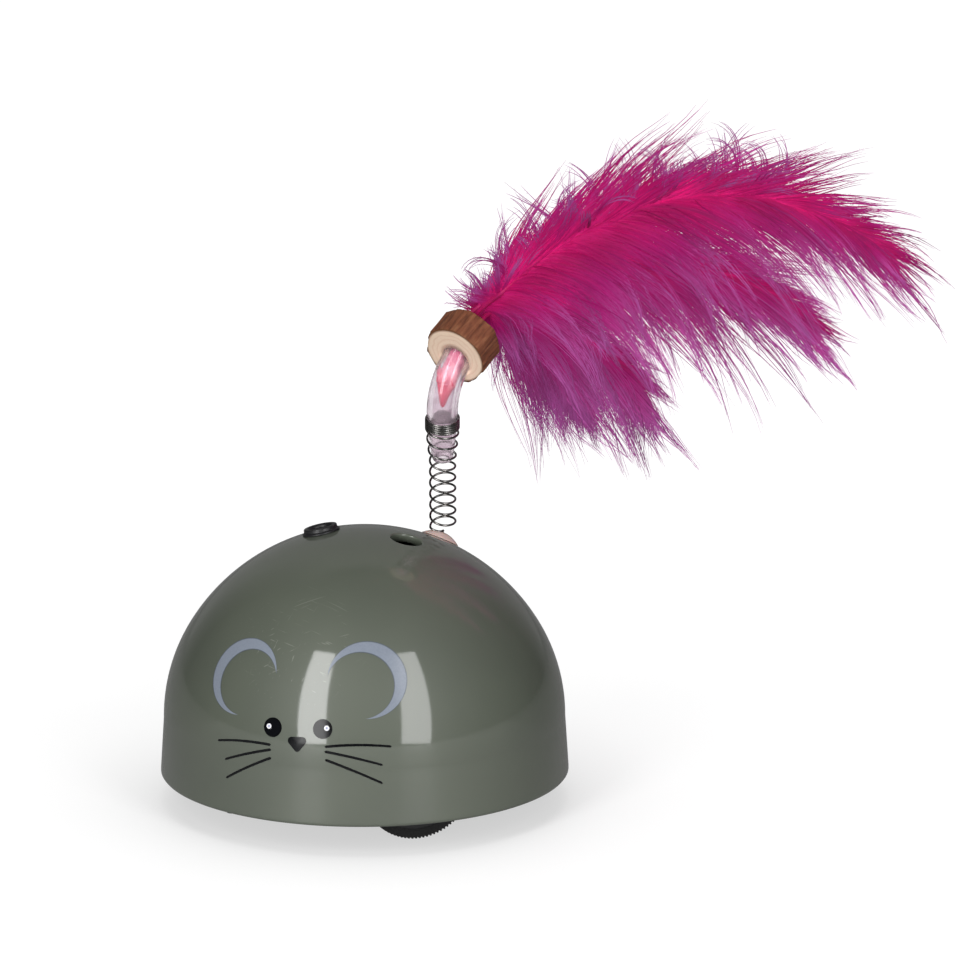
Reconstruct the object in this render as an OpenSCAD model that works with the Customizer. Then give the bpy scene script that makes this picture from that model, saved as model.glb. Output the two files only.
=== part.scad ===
// Robotic mouse cat toy: a domed shell on two driven wheels, with a feather teaser on a coil spring.
// Millimetres, +Z up. The mouse faces -Y, and its left side is +X.
// The origin is the middle of the flat underside. The toy stands lower, on its wheels and skids.

/* [Dome] */
// Diameter of the dome at its rim
rim_d = 100; // [98:1:112]
// Height of the rim above the flat underside
rim_lift = 3; // [2.5:0.25:4]
// Height of the drafted skirt under the crown
skirt_h = 13.6; // [12:0.2:18]
// Radius that the skirt loses to its draft
skirt_draft = 0.9; // [0.4:0.1:1.4]
// How much lower the crown is than a half ball
crown_drop = 2.6; // [1:0.2:4]
// Distance of the shoulder arc's centre from the axis
shoulder_in = 6; // [5:0.5:10]
// Wall thickness of the dome
dome_wall = 2; // [1.6:0.1:2.4]

/* [Face print] */
// Thickness of the printed ink
ink_t = 0.1; // [0.08:0.02:0.2]
// Turn of the printed face about its own middle
face_roll = 3; // [-5:0.5:5]
// Distance of each ear's middle from the face's middle line, along the dome
ear_out = 16.1; // [14:0.1:18]
// Height of each ear's middle above the rim
ear_up = 34; // [31:0.5:36]
// Outer diameter of an ear crescent
ear_d = 19; // [16:0.5:22]
// Diameter of the round bite that leaves the crescent
ear_bite_d = 16.2; // [13:0.2:16.4]
// Distance between the middles of the ear and of its bite
ear_bite_off = 2.3; // [1.8:0.1:3]
// Diameter of an eye
eye_d = 4.7; // [3.5:0.1:6]
// Distance of each eye from the face's middle line, along the dome
eye_out = 6.3; // [5:0.1:8]
// Height of the eyes above the rim
eye_up = 23.2; // [21:0.2:26]
// Diameter of the light spot in an eye
spot_d = 1.3; // [0.8:0.1:1.8]
// Width of the nose
nose_w = 4.6; // [3.5:0.1:6]
// Height of the nose's middle above the rim
nose_up = 19.5; // [18:0.1:21]
// Width of a whisker line
whisker_w = 0.6; // [0.4:0.1:1]

/* [Switch and sockets] */
// Angle of the switch and the spare socket from the dome's axis
fitting_polar = 12.7; // [11:0.1:16]
// Diameter of the spare feather socket
socket_d = 7.7; // [6:0.1:9]
// Diameter of the switch barrel
barrel_d = 6.6; // [6:0.1:7.4]
// Length of the switch barrel under the dome's surface
barrel_len = 9; // [8:0.5:12]
// Diameter of the switch bezel where it meets the dome
bezel_d = 9.2; // [8.6:0.1:11]
// Height of the switch bezel
bezel_h = 1.5; // [1.2:0.1:2.5]
// Diameter of the power button
button_d = 5.2; // [4.6:0.1:5.6]
// Depth of the button's top below the bezel's top
button_recess = 0.8; // [0.4:0.1:1]
// Travel of the power button
button_travel = 1; // [0.5:0.1:1.2]
// Width of the switch nut across its flats
nut_af = 9; // [8.4:0.2:10]
// Thickness of the switch nut
nut_t = 2; // [1.5:0.1:3]

/* [Spring plug] */
// Angle of the spring plug from the dome's axis
plug_polar = 28.5; // [26:0.1:32]
// Compass angle of the spring plug, from +X towards +Y
plug_azimuth = 58; // [50:1:70]
// Diameter of the plug's cap
cap_d = 9.6; // [8.6:0.1:11]
// Height of the plug's cap
cap_h = 1.9; // [1.5:0.1:2.2]
// Diameter of the plug's stem
stem_d = 6.4; // [5.5:0.1:7]

/* [Spring] */
// Diameter of the spring wire
wire_d = 0.55; // [0.45:0.05:0.6]
// Mean diameter of the open turns
coil_d = 6.2; // [6.1:0.1:6.6]
// Rise of one open turn
coil_pitch = 3.25; // [3:0.05:3.5]
// Number of open turns
coil_turns = 8.5; // [8:0.5:9]
// Rise of one of the close turns that grip the tube
grip_pitch = 1; // [1:0.05:1.2]
// Number of turns that grip the tube
grip_turns = 3; // [2:0.5:3.5]
// Lean of the spring from upright
spring_lean = 20; // [14:1:24]
// Compass direction in which the spring leans
lean_azimuth = -71.5; // [-85:0.5:-60]

/* [Vinyl tube] */
// Outer diameter of the tube
tube_d = 7.6; // [7.4:0.1:8]
// Bore of the tube
tube_bore = 4.8; // [4.4:0.1:5.2]
// Diameter of the tube where the spring grips it
waist_d = 7; // [6.6:0.1:7.1]
// Diameter of the tube's pinched lower end
pinch_d = 4.9; // [4.6:0.1:5]
// Length of the tube's lower end inside the open turns
tube_below = 9.2; // [8:0.2:10]
// Straight length of the tube between the spring's grip and the bend
tube_run = 0.4; // [0.2:0.1:2]
// Radius of the tube's bend
bend_r = 12; // [11:0.5:16]
// Angle of the tube's bend
bend_angle = 54; // [46:1:62]
// Straight length of the tube beyond its bend
tube_tail = 5; // [4.5:0.5:8]
// Direction of the bend about the spring's axis
bend_azimuth = 150; // [140:1:160]

/* [Wood disc] */
// Diameter of the branch slice
disc_d = 16; // [14:0.5:18]
// Thickness of the branch slice
disc_t = 8; // [6:0.5:9]
// Tilt of the slice against the tube
disc_tilt = 26; // [14:1:30]

/* [Feathers] */
// Length of the longest feather's vane
long_feather_l = 135; // [110:1:150]
// Length of the middle feather's vane
middle_feather_l = 114; // [90:1:125]
// Length of the low feather's vane
low_feather_l = 84; // [70:1:95]
// Length of the shortest feather's vane
short_feather_l = 79; // [65:1:90]
// Diameter of a quill
quill_d = 1.2; // [0.9:0.1:1.3]
// Thickness of a vane at its middle
vane_t = 5; // [3:0.5:5.5]
// Compass angle of the plane in which the feathers hang
plume_azimuth = 18.5; // [10:0.5:30]

/* [Base] */
// Height of the flat underside above the floor
ground_gap = 4.5; // [4:0.25:5]
// Thickness of the base plate's floor and flange
base_t = 2; // [1.8:0.1:2.2]
// Outer diameter of the base plate's dish
dish_d = 79.6; // [79:0.2:82]
// Height of the flange's underside above the rim
flange_lift = 1; // [0.6:0.1:1.4]
// Gap between the base plate's flange and the dome
flange_gap = 0.3; // [0.2:0.05:0.5]
// Distance of each base screw from the flange's edge
screw_in = 4.2; // [3.6:0.1:5]
// Distance of each skid from the axis
skid_r = 34.4; // [33.5:0.1:36]
// Diameter of a skid
skid_d = 6; // [5:0.5:6]

/* [Drive] */
// Compass angle of the axle line, from +X to the left wheel
drive_yaw = -50; // [-60:1:-40]
// Diameter of a wheel over its teeth
wheel_d = 29; // [28.5:0.1:29.5]
// Width of a tyre
tyre_w = 6; // [5:0.5:6]
// Number of teeth round a tyre
tyre_teeth = 96; // [60:4:120]
// Gap between the gear frame and the tyre's inner face
wheel_gap = 0.9; // [0.7:0.1:1.2]
// Diameter of the axles and gear pins
pin_d = 2; // [1.8:0.1:2]
// Radial clearance of a gear on its pin, and of an axle in its bearing
run_gap = 0.05; // [0.03:0.01:0.08]
// Module of the gears
gear_m = 0.5; // [0.48:0.01:0.51]
// Teeth of each pinion
pinion_n = 12; // [11:1:13]
// Teeth of the first gear
first_n = 34; // [30:1:36]
// Teeth of the second gear
second_n = 32; // [28:1:34]
// Teeth of the wheel gear
wheel_n = 28; // [26:1:30]
// Face width of a gear
face_w = 2.2; // [2:0.1:2.2]
// Thickness of the gear frame's plates
plate_t = 1.5; // [1.2:0.1:1.5]
// Diameter of the motor can
motor_d = 20.4; // [19:0.2:20.4]
// Thickness of the motor across its flats
motor_t = 15.4; // [14:0.2:15.4]
// Length of the motor can
motor_len = 25; // [20:0.5:26]

/* [Battery] */
// Diameter of a battery cell
cell_d = 10.5; // [10:0.1:10.5]
// Length of a battery cell
cell_len = 44.5; // [43:0.1:44.5]
// Gap between two cells
cell_gap = 0.5; // [0.3:0.1:0.6]
// Wall thickness of the battery box
box_wall = 1.5; // [1.2:0.1:1.5]
// Thickness of the battery door
door_t = 1.6; // [1.2:0.1:1.7]
// Gap round the battery door
door_gap = 0.25; // [0.15:0.05:0.4]

/* [Control board] */
// Length of the control board along the axle line
board_l = 36; // [34:1:40]
// Width of the control board
board_w = 24; // [20:1:26]
// Thickness of the control board
board_t = 1.6; // [1:0.1:2]
// Height of the board above the battery box
board_lift = 17.8; // [17.4:0.2:20]

/* [Hidden] */
$fn = 72;

// Colours
shell_green = "#6b7265";
ear_grey = "#969cae";
ink_black = "#15151a";
part_black = "#1d1d1f";
plug_pink = "#e9c6bd";
spring_steel = "#8d9094";
clear_vinyl = "#d9d2d8";
wood_tan = "#c9a06c";
feather_magenta = "#d00078";
cell_grey = "#55585c";
gear_white = "#e8e4da";
board_green = "#1f6b3a";

// Fits shared by several pieces
press_gap = 0.01;
slip_gap = 0.1;
seat_gap = 0.02;
cut = 1;

// Dome arcs: the crown arc on the axis runs into a tangent shoulder arc
rim_r = rim_d / 2;
equator_r = rim_r - skirt_draft;
equator_z = rim_lift + skirt_h;
crown_h = equator_r - crown_drop;
arc_sink = crown_drop * (2 * shoulder_in - crown_drop) / (2 * (shoulder_in - crown_drop));
crown_r = crown_h + arc_sink;
crown_z = equator_z - arc_sink;
shoulder_r = equator_r - shoulder_in;
tangent_angle = atan2(arc_sink, shoulder_in);

// Sag of the dome's surface over a flat disc of radius r
function sag(r, sphere_r) = sphere_r - sqrt(sphere_r * sphere_r - r * r);

// Radius of the dome's surface at height z on its skirt and shoulder
function skin_r(z) =
    z < equator_z ? rim_r - skirt_draft * (z - rim_lift) / skirt_h
                  : shoulder_in + sqrt(shoulder_r * shoulder_r - pow(z - equator_z, 2));

// Face print: inner and outer end of each whisker on one side, and the light spot in its eye
face_middle = 25;
whiskers = [[[6.8, 19.4], [22.8, 18.7]], [[6.8, 18.1], [20.6, 14.2]], [[6.9, 16.1], [20.4, 9.7]]];
spot_off = [1, 0.2];
bite_turn = 37;

// Switch
barrel_hole_r = barrel_d / 2 + slip_gap;
bezel_seat = seat_gap - sag(barrel_hole_r, crown_r);
bezel_top = bezel_seat + bezel_h;
button_top = bezel_top - button_recess;
button_len = 5;
button_bore_bottom = button_top - button_len - button_travel - 0.4;
nut_top = -dome_wall - sag(nut_af / sqrt(3), crown_r - dome_wall) - seat_gap;

// Plug and spring: unit vectors of the plug's axis, the spring's axis and the bend
plug_hole_r = stem_d / 2 + slip_gap;
cap_seat = seat_gap - sag(plug_hole_r, crown_r);
cap_r = (pow(cap_d / 2, 2) + cap_h * cap_h) / (2 * cap_h);
function unit(v) = v / norm(v);
function polar_vector(polar, azimuth) =
    [sin(polar) * cos(azimuth), sin(polar) * sin(azimuth), cos(polar)];
plug_axis = polar_vector(plug_polar, plug_azimuth);
spring_foot = [0, 0, crown_z] + (crown_r + cap_seat + cap_h) * plug_axis;
spring_axis = polar_vector(spring_lean, lean_azimuth);
spring_x = polar_vector(spring_lean + 90, lean_azimuth);
spring_y = cross(spring_axis, spring_x);
bend_side = cos(bend_azimuth) * spring_x + sin(bend_azimuth) * spring_y;
bend_normal = cross(spring_axis, bend_side);

// Heights along the spring's axis, from the top of the plug
wire_r = wire_d / 2;
coil_r = coil_d / 2;
tang_len = 1.8;
lead_start = 0.8;
lead_turns = 0.75;
coil_start = 3.2;
coil_end = coil_start + coil_turns * coil_pitch;
grip_end = coil_end + grip_turns * grip_pitch;
curl_rings = 8;
wire_sides = 6;
chord = cos(180 / curl_rings);
grip_r = (waist_d / 2 + slip_gap + wire_r) / chord;
tube_start = coil_end - tube_below;
waist_start = coil_end - 0.3;
waist_end = grip_end + wire_r + 0.3;
waist_run = 0.7;
bend_start = waist_end + waist_run + tube_run;

// Radius of the coil at height s along its axis
function coil_radius(s) =
    s < tube_start - 0.5 ? coil_r
    : s < coil_end ? coil_r + (grip_r - coil_r) * (s - tube_start + 0.5) / (coil_end - tube_start + 0.5)
    : grip_r;

// Point of the left-handed coil: a lead that winds out from the axis, open turns, then grip turns
lead_steps = lead_turns * curl_rings;
coil_steps = coil_turns * curl_rings;
grip_steps = grip_turns * curl_rings;
function coil_height(i) =
    i <= lead_steps ? lead_start + (coil_start - lead_start) * i / lead_steps
    : i <= lead_steps + coil_steps ? coil_start + (i - lead_steps) * coil_pitch / curl_rings
    : coil_end + (i - lead_steps - coil_steps) * grip_pitch / curl_rings;
function coil_point(i) =
    let (s = coil_height(i), r = coil_radius(s) * min(1, (i + 0.6) / lead_steps),
         a = coil_phase - i * 360 / curl_rings)
    spring_foot + s * spring_axis + r * (cos(a) * spring_x + sin(a) * spring_y);
coil_phase = 10;
spring_path = concat(
    [for (d = [-tang_len, -0.6, 0.25]) spring_foot + d * plug_axis],
    [for (i = [0:lead_steps + coil_steps + grip_steps]) coil_point(i)]);

// Least gap between points of the wire that lie more than half a turn apart
coil_gap = min([for (i = [0:len(spring_path) - 1], j = [i + curl_rings / 2:1:len(spring_path) - 1])
    norm(spring_path[i] - spring_path[j])]) - wire_d;
echo(least_gap_of_the_spring_to_itself = coil_gap);

// Tube centreline after the bend starts
function bend_point(b) =
    spring_foot + bend_start * spring_axis
    + bend_r * (sin(b) * spring_axis + (1 - cos(b)) * bend_side);
function bend_tangent(b) = cos(b) * spring_axis + sin(b) * bend_side;
tube_end_axis = bend_tangent(bend_angle);
tube_end = bend_point(bend_angle) + tube_tail * tube_end_axis;
disc_axis = bend_tangent(bend_angle + disc_tilt);
tail_lap = 0.6;
tail_swell = 0.05;
tail_r = tube_d / 2 + tail_swell;
disc_along = 1.2;
disc_centre = tube_end + disc_along * tube_end_axis;

// Feathers: the quill follows the tube's bend, the shaft then turns in the plane of the plume
plume_away = [-sin(plume_azimuth), cos(plume_azimuth), 0];
plume_up = [0, 0, 1];
quill_rings = 5;
vane_rings = 16;
vane_sides = 8;
quill_reach = 8.5;
drift_run = 10;
bare_run = 9;
root_run = 2.4;
quill_spread = 1.05;

// Columns: vane length, quill angle in the bore, root heading, tip heading, bend power, drift away from
// the viewer, width above the shaft, width below it, swing of the vane's plane away from the viewer
long_feather = [long_feather_l, 255, 48, -66, 1.3, -9, 11, 25, 4];
middle_feather = [middle_feather_l, 345, 31, -55, 1.0, -2.5, 14, 23, 20];
low_feather = [low_feather_l, 165, -8, -56, 0.8, 4, 13, 16, 40];
short_feather = [short_feather_l, 75, -28, -50, 0.8, 10, 12, 12, 56];

function quill_offset(f, b) =
    quill_spread * (cos(f[1]) * bend_normal + sin(f[1]) * cross(bend_normal, bend_tangent(b)));
function vane_heading(f, t) = f[2] + (f[3] - f[2]) * pow(t, f[4]);
function vane_right(f) = [cos(plume_azimuth + f[8]), sin(plume_azimuth + f[8]), 0];
function vane_away(f) = [-sin(plume_azimuth + f[8]), cos(plume_azimuth + f[8]), 0];
function vane_step(f, t) =
    let (h = vane_heading(f, t), root = exp(-t * f[0] / root_run))
    unit((1 - root) * (cos(h) * vane_right(f) + sin(h) * plume_up) + root * tube_end_axis);
function vane_drift(f, s) = f[5] * min(1, s / drift_run) * plume_away;
function feather_path(f) =
    let (root = tube_end + quill_reach * tube_end_axis + 1.5 * quill_offset(f, bend_angle))
    concat(
        [for (i = [0:quill_rings - 1]) let (b = bend_angle * (0.4 + 0.6 * i / (quill_rings - 1)))
            bend_point(b) + quill_offset(f, b)],
        [for (i = 0, p = root, step = f[0] / vane_rings; i <= vane_rings;
              p = p + step * vane_step(f, (i + 0.5) / vane_rings), i = i + 1)
            p + vane_drift(f, i * step)]);

// Share of the full vane width at each ring: a bare quill, a fast swell, a broad middle, a pointed tip
function vane_share(f, i) =
    let (s = (i - quill_rings) * f[0] / vane_rings, t = (s - bare_run) / (f[0] - bare_run))
    t <= 0 ? 0 : pow(sin(180 * pow(t, 0.72)), 0.7) * (1 - 0.25 * t) + (t > 0.98 ? 0.04 : 0);
function feather_ring(f, path, i) =
    let (n = len(path), ahead = path[min(i + 1, n - 1)], behind = path[max(i - 1, 0)],
         t = unit(ahead - behind), e2 = unit(vane_away(f) - (vane_away(f) * t) * t), e1 = cross(t, e2),
         share = vane_share(f, i), thin = quill_d / 2 + share * (vane_t - quill_d) / 2,
         above = quill_d / 2 + share * (f[6] - quill_d / 2),
         below = quill_d / 2 + share * (f[7] - quill_d / 2))
    [for (j = [0:vane_sides - 1]) let (a = j * 360 / vane_sides)
        path[i] + thin * cos(a) * e2 + (sin(a) > 0 ? above : below) * sin(a) * e1];

// Triangles of a closed tube of rings
function tube_faces(rings, sides) = concat(
    [for (i = [0:rings - 2], j = [0:sides - 1])
        let (a = i * sides + j, b = i * sides + (j + 1) % sides)
        each [[a, a + sides, b + sides], [a, b + sides, b]]],
    [for (j = [1:sides - 2]) [0, j, j + 1]],
    [for (j = [1:sides - 2]) let (s = (rings - 1) * sides) [s, s + j + 1, s + j]]);

// Rings of a round wire along a path
function wire_ring(path, i, r, sides, ref) =
    let (n = len(path), t = unit(path[min(i + 1, n - 1)] - path[max(i - 1, 0)]),
         e1 = unit(ref - (ref * t) * t), e2 = cross(t, e1))
    [for (j = [0:sides - 1]) path[i] + r * (cos(j * 360 / sides) * e1 + sin(j * 360 / sides) * e2)];

// Base plate
dish_r = dish_d / 2;
dish_wall = 1.8;
flange_z = rim_lift + flange_lift;
flange_top = flange_z + base_t;
flange_r = skin_r(flange_z) - dome_wall - flange_gap;
base_screw_r = flange_r - screw_in;
floor_z = -ground_gap;
screw_r = 1.25;
screw_head_r = 2.6;
screw_head_h = 1.8;
head_gap = 0.3;
boss_r = 3;
boss_h = 12;
base_screw_len = 9;
base_screw_angles = [60, 120, 240, 300];

// Battery box
cell_pitch = cell_d + cell_gap;
box_half_u = 1.5 * cell_pitch;
contact_t = 0.4;
contact_room = 2.25;
contact_h = 7;
contact_side = 0.5;
leaf_w = 4;
leaf_h = 3.2;
leaf_t = 0.3;
box_half_v = cell_len / 2 + contact_room;
cell_z = door_t + 0.3 + cell_d / 2;
box_top_in = cell_z + cell_d / 2 + 0.8;
box_top = box_top_in + box_wall;
door_half_u = box_half_u - door_gap;
door_half_v = box_half_v - 0.2 - door_gap;
ear_w = 10;
ear_len = 6.5;
door_screw_v = door_half_v + 3.2;
door_boss_h = 6;
door_boss_r = 3;
tongue_w = 16;
tongue_t = 1.2;
tongue_len = 2.6;
tongue_rise = 1.5;
door_head_h = 0.8;
grip_l = 12;
grip_w = 1;
grip_step = 2.4;
grip_in = 5;
grip_depth = 0.4;

// Wheel and gear axes, in the plane across the axle line: x is to the side, y is up
axle_z = wheel_d / 2 - ground_gap;
pin_r = pin_d / 2;
wheel_mesh = 46;
second_mesh = 158;
motor_gap = 0.5;
function mesh_distance(a, b) = gear_m * (a + b) / 2;
axle_at = [0, axle_z];
second_at = axle_at + mesh_distance(wheel_n, pinion_n) * [cos(wheel_mesh), sin(wheel_mesh)];
first_at = second_at + mesh_distance(second_n, pinion_n) * [cos(second_mesh), sin(second_mesh)];
motor_reach = mesh_distance(first_n, pinion_n);
motor_rise = box_top + motor_gap + motor_t / 2 - first_at[1];
first_mesh = 180 - asin(motor_rise / motor_reach);
motor_at = first_at + motor_reach * [cos(first_mesh), sin(first_mesh)];

// Turn of each gear so that a tooth meets a gap on the line between two axes
function meshed_turn(mesh, turn, n, other) =
    mesh + 180 - (0.5 - (mesh - turn) * n / 360) * 360 / other;
wheel_gear_turn = 0;
second_small_turn = meshed_turn(wheel_mesh, wheel_gear_turn, wheel_n, pinion_n);
first_small_turn = meshed_turn(second_mesh, second_small_turn, second_n, pinion_n);
pinion_turn = meshed_turn(first_mesh, first_small_turn, first_n, pinion_n);

// Places along the axle line, from the dome's axis outwards
tray_gap = 0.5;
frame_in = box_half_u + box_wall + tray_gap;
first_plane = frame_in + plate_t + 0.6;
second_plane = first_plane + face_w + 0.4;
wheel_plane = second_plane + face_w + 0.4;
frame_out = wheel_plane + face_w + 0.6;
gear_play = 0.2;
wheel_side_gap = 1;
wheel_slot = wheel_d / 2 + wheel_side_gap;
frame_middle = (frame_in + frame_out + plate_t) / 2;
hub_r = wheel_d / 2 - 2.4;
hub_boss_r = 3.5;
hub_boss_in = frame_out + plate_t + 0.4;
wheel_in = frame_out + plate_t + wheel_gap;

// Gear teeth: involute flanks at a wide pressure angle, thinned for backlash
pressure_angle = 25;
backlash = 0.12;
addendum = 0.8 * gear_m;
dedendum = 1.1 * gear_m;
function involute(a) = tan(a) * 180 / PI - a;
function half_tooth(r, n) =
    let (pitch_r = gear_m * n / 2, base_r = pitch_r * cos(pressure_angle))
    90 / n - backlash / (2 * pitch_r) * 180 / PI + involute(pressure_angle)
    - involute(acos(min(1, base_r / r)));
function gear_points(n) =
    let (pitch_r = gear_m * n / 2, root_r = pitch_r - dedendum, tip_r = pitch_r + addendum,
         base_r = max(pitch_r * cos(pressure_angle), root_r + 0.01))
    [for (k = [0:n - 1], side = [-1, 1], i = [0:2])
        let (r = side < 0 ? [root_r, pitch_r, tip_r][i] : [tip_r, pitch_r, root_r][i],
             a = k * 360 / n + side * half_tooth(max(r, base_r), n))
        r * [cos(a), sin(a)]];

// Gear frame
foot_h = 4;
foot_at = 12.4;
foot_w = 6.4;
foot_hole_r = 1;
foot_head_r = 2.2;
foot_head_h = 1.2;
spacer_at = [6, 29.3];
spacer_r = 1.5;
motor_screw_up = 6;
motor_screw_r = 0.8;
motor_screw_bite = 2.5;
motor_boss_r = 3;
motor_boss_h = 1.2;
shaft_depth = 12;

// Control board
board_z = box_top + board_lift;
post_r = 2.5;
post_at = 14;
board_screw_r = 1;
board_screw_len = 7;
chip_size = [6, 4.5, 1.5];
chip_at = [[-8, 3], [1, 3]];
capacitor_d = 5;
capacitor_h = 7;
capacitor_at = [7.5, -6];
lead_socket_w = 6;
lead_socket_t = 4;
lead_socket_h = 5;
lead_socket_wall = 0.6;
lead_socket_at = [[-10, -10.5], [-3, -10.5]];

// Places a child on the crown, with its Z axis along the dome's normal
module on_crown(polar, azimuth) {
    translate([0, 0, crown_z]) rotate([0, polar, azimuth]) translate([0, 0, crown_r]) children();
}

// Turns a child from Z along the axle line to a place across it
module on_axis(at, along) {
    translate([along, at[0], at[1]]) rotate([90, 0, 90]) children();
}

module left_side() {
    rotate([0, 0, drive_yaw]) children();
}

module right_side() {
    rotate([0, 0, drive_yaw + 180]) children();
}

// Half section of the dome as a solid, grown outwards, with its skirt drawn down below the rim
module dome_section(grow = 0, below = 0) {
    reach = 2 * crown_r;
    union() {
        intersection() {
            translate([0, crown_z]) circle(r = crown_r + grow);
            polygon([[0, crown_z], [reach * cos(tangent_angle), crown_z + reach * sin(tangent_angle)],
                     [0, crown_z + reach]]);
        }
        intersection() {
            translate([shoulder_in, equator_z]) circle(r = shoulder_r + grow);
            translate([0, equator_z]) square([reach, reach]);
        }
        polygon([[0, rim_lift - below], [rim_r + grow, rim_lift - below], [rim_r + grow, rim_lift],
                 [equator_r + grow, equator_z], [0, equator_z]]);
    }
}

module dome_shell() {
    color(shell_green) difference() {
        union() {
            rotate_extrude() difference() {
                dome_section();
                dome_section(-dome_wall, cut);
            }
            for (a = base_screw_angles) rotate([0, 0, drive_yaw + a]) {
                translate([base_screw_r, 0, flange_top]) cylinder(r = boss_r, h = boss_h);
                translate([base_screw_r, -1, flange_top])
                    cube([skin_r(flange_top + boss_h) - dome_wall / 2 - base_screw_r, 2, boss_h]);
            }
        }
        for (a = base_screw_angles) rotate([0, 0, drive_yaw + a])
            translate([base_screw_r, 0, flange_top - cut])
                cylinder(r = screw_r + press_gap, h = base_screw_len + cut);
        on_crown(fitting_polar, 180) translate([0, 0, -2 * dome_wall])
            cylinder(r = barrel_hole_r, h = 4 * dome_wall);
        on_crown(fitting_polar, 0) translate([0, 0, -2 * dome_wall])
            cylinder(d = socket_d, h = 4 * dome_wall);
        on_crown(plug_polar, plug_azimuth) translate([0, 0, -2 * dome_wall])
            cylinder(r = plug_hole_r, h = 4 * dome_wall);
    }
}

// Face print: places are [along the dome, height above the rim], rolled about the face's middle
function rolled(p) =
    [p[0] * cos(face_roll) - (p[1] - face_middle) * sin(face_roll),
     face_middle + p[0] * sin(face_roll) + (p[1] - face_middle) * cos(face_roll)];

// Places flat artwork, x to the viewer's right and y up, square to the dome's surface
module on_face(p) {
    q = rolled(p);
    z = rim_lift + q[1];
    rise = z > equator_z ? asin((z - equator_z) / shoulder_r) : 0;
    rotate([0, 0, -90 + q[0] / skin_r(z) * 180 / PI]) translate([shoulder_in, 0, equator_z])
        rotate([0, 90 - rise, 0]) translate([0, 0, shoulder_r]) rotate([0, 0, 90 + face_roll])
            translate([0, min(0, z - equator_z), 0]) children();
}

// Ink film of an outline placed on the dome
module ink(p, depth = 4) {
    intersection() {
        rotate_extrude() difference() {
            dome_section(seat_gap + ink_t);
            dome_section(seat_gap, cut);
        }
        on_face(p) translate([0, 0, -depth]) linear_extrude(2 * depth) children();
    }
}

module ear_outline() {
    difference() {
        circle(d = ear_d);
        translate(ear_bite_off * [cos(bite_turn), -sin(bite_turn)]) circle(d = ear_bite_d);
    }
}

module face_ears() {
    color(ear_grey) {
        ink([-ear_out, ear_up]) ear_outline();
        ink([ear_out, ear_up]) mirror([1, 0]) ear_outline();
    }
}

module nose_outline() {
    hull() {
        translate([-nose_w / 2 + 1, 0.8]) circle(r = 1, $fn = 24);
        translate([nose_w / 2 - 1, 0.8]) circle(r = 1, $fn = 24);
        translate([0, -1]) circle(r = 0.8, $fn = 24);
    }
}

module whisker_outline(span) {
    square([span - whisker_w, whisker_w], center = true);
    for (side = [-1, 1]) translate([side * (span - whisker_w) / 2, 0]) circle(d = whisker_w, $fn = 24);
}

module face_features() {
    color(ink_black) {
        for (side = [-1, 1]) {
            ink([side * eye_out, eye_up]) difference() {
                circle(d = eye_d);
                translate([side * spot_off[0], spot_off[1]]) circle(d = spot_d + 0.1);
            }
            for (w = whiskers) {
                run = w[1] - w[0];
                ink([side * (w[0][0] + w[1][0]) / 2, (w[0][1] + w[1][1]) / 2])
                    rotate([0, 0, side * atan2(run[1], run[0])]) whisker_outline(norm(run));
            }
        }
        ink([0, nose_up]) nose_outline();
    }
}

module eye_spots() {
    color("white") for (side = [-1, 1])
        ink([side * eye_out, eye_up]) translate([side * spot_off[0], spot_off[1]]) circle(d = spot_d);
}

module switch_bezel() {
    bore_r = button_d / 2 + slip_gap;
    color(part_black) on_crown(fitting_polar, 180) {
        rotate_extrude() polygon([
            [bore_r, bezel_top], [bezel_d / 2 - 0.7, bezel_top], [bezel_d / 2 - 0.4, bezel_top - 0.3],
            [bezel_d / 2 - 0.4, bezel_seat + 0.6], [bezel_d / 2, bezel_seat + 0.3],
            [bezel_d / 2, bezel_seat], [barrel_d / 2, bezel_seat], [barrel_d / 2, -barrel_len],
            [0, -barrel_len], [0, button_bore_bottom], [bore_r, button_bore_bottom]]);
        for (side = [-1, 1]) translate([side * 1.6 - 0.3, -0.9, -barrel_len - 2.5]) cube([0.6, 1.8, 3]);
    }
}

module switch_nut() {
    color(part_black) on_crown(fitting_polar, 180) translate([0, 0, nut_top - nut_t]) difference() {
        cylinder(r = nut_af / sqrt(3), h = nut_t, $fn = 6);
        translate([0, 0, -cut]) cylinder(r = barrel_d / 2 + press_gap, h = nut_t + 2 * cut);
    }
}

module power_button() {
    color(part_black) on_crown(fitting_polar, 180) rotate_extrude() polygon([
        [0, button_top - 0.25], [button_d / 2 - 0.9, button_top], [button_d / 2 - 0.3, button_top],
        [button_d / 2, button_top - 0.3], [button_d / 2, button_top - button_len],
        [0, button_top - button_len]]);
}

module spring_plug() {
    lip_top = -dome_wall - sag(cap_d / 2, crown_r - dome_wall) - seat_gap;
    lip_h = 2;
    color(plug_pink) on_crown(plug_polar, plug_azimuth) difference() {
        union() {
            rotate_extrude() intersection() {
                translate([0, cap_seat + cap_h - cap_r]) circle(r = cap_r);
                translate([0, cap_seat]) square([cap_d, cap_h]);
            }
            translate([0, 0, lip_top - lip_h / 2])
                cylinder(d = stem_d, h = cap_seat + cap_h / 2 - lip_top + lip_h / 2);
            translate([0, 0, lip_top - lip_h]) cylinder(d1 = stem_d, d2 = cap_d - 1.2, h = lip_h);
        }
        translate([0, 0, cap_seat + cap_h - tang_len - slip_gap])
            cylinder(r = wire_r + slip_gap, h = tang_len + cut);
    }
}

module feather_spring() {
    rings = len(spring_path);
    color(spring_steel) polyhedron(
        points = [for (i = [0:rings - 1]) each wire_ring(spring_path, i, wire_r, wire_sides,
            i < 4 ? bend_side : spring_axis)],
        faces = tube_faces(rings, wire_sides));
}

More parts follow.
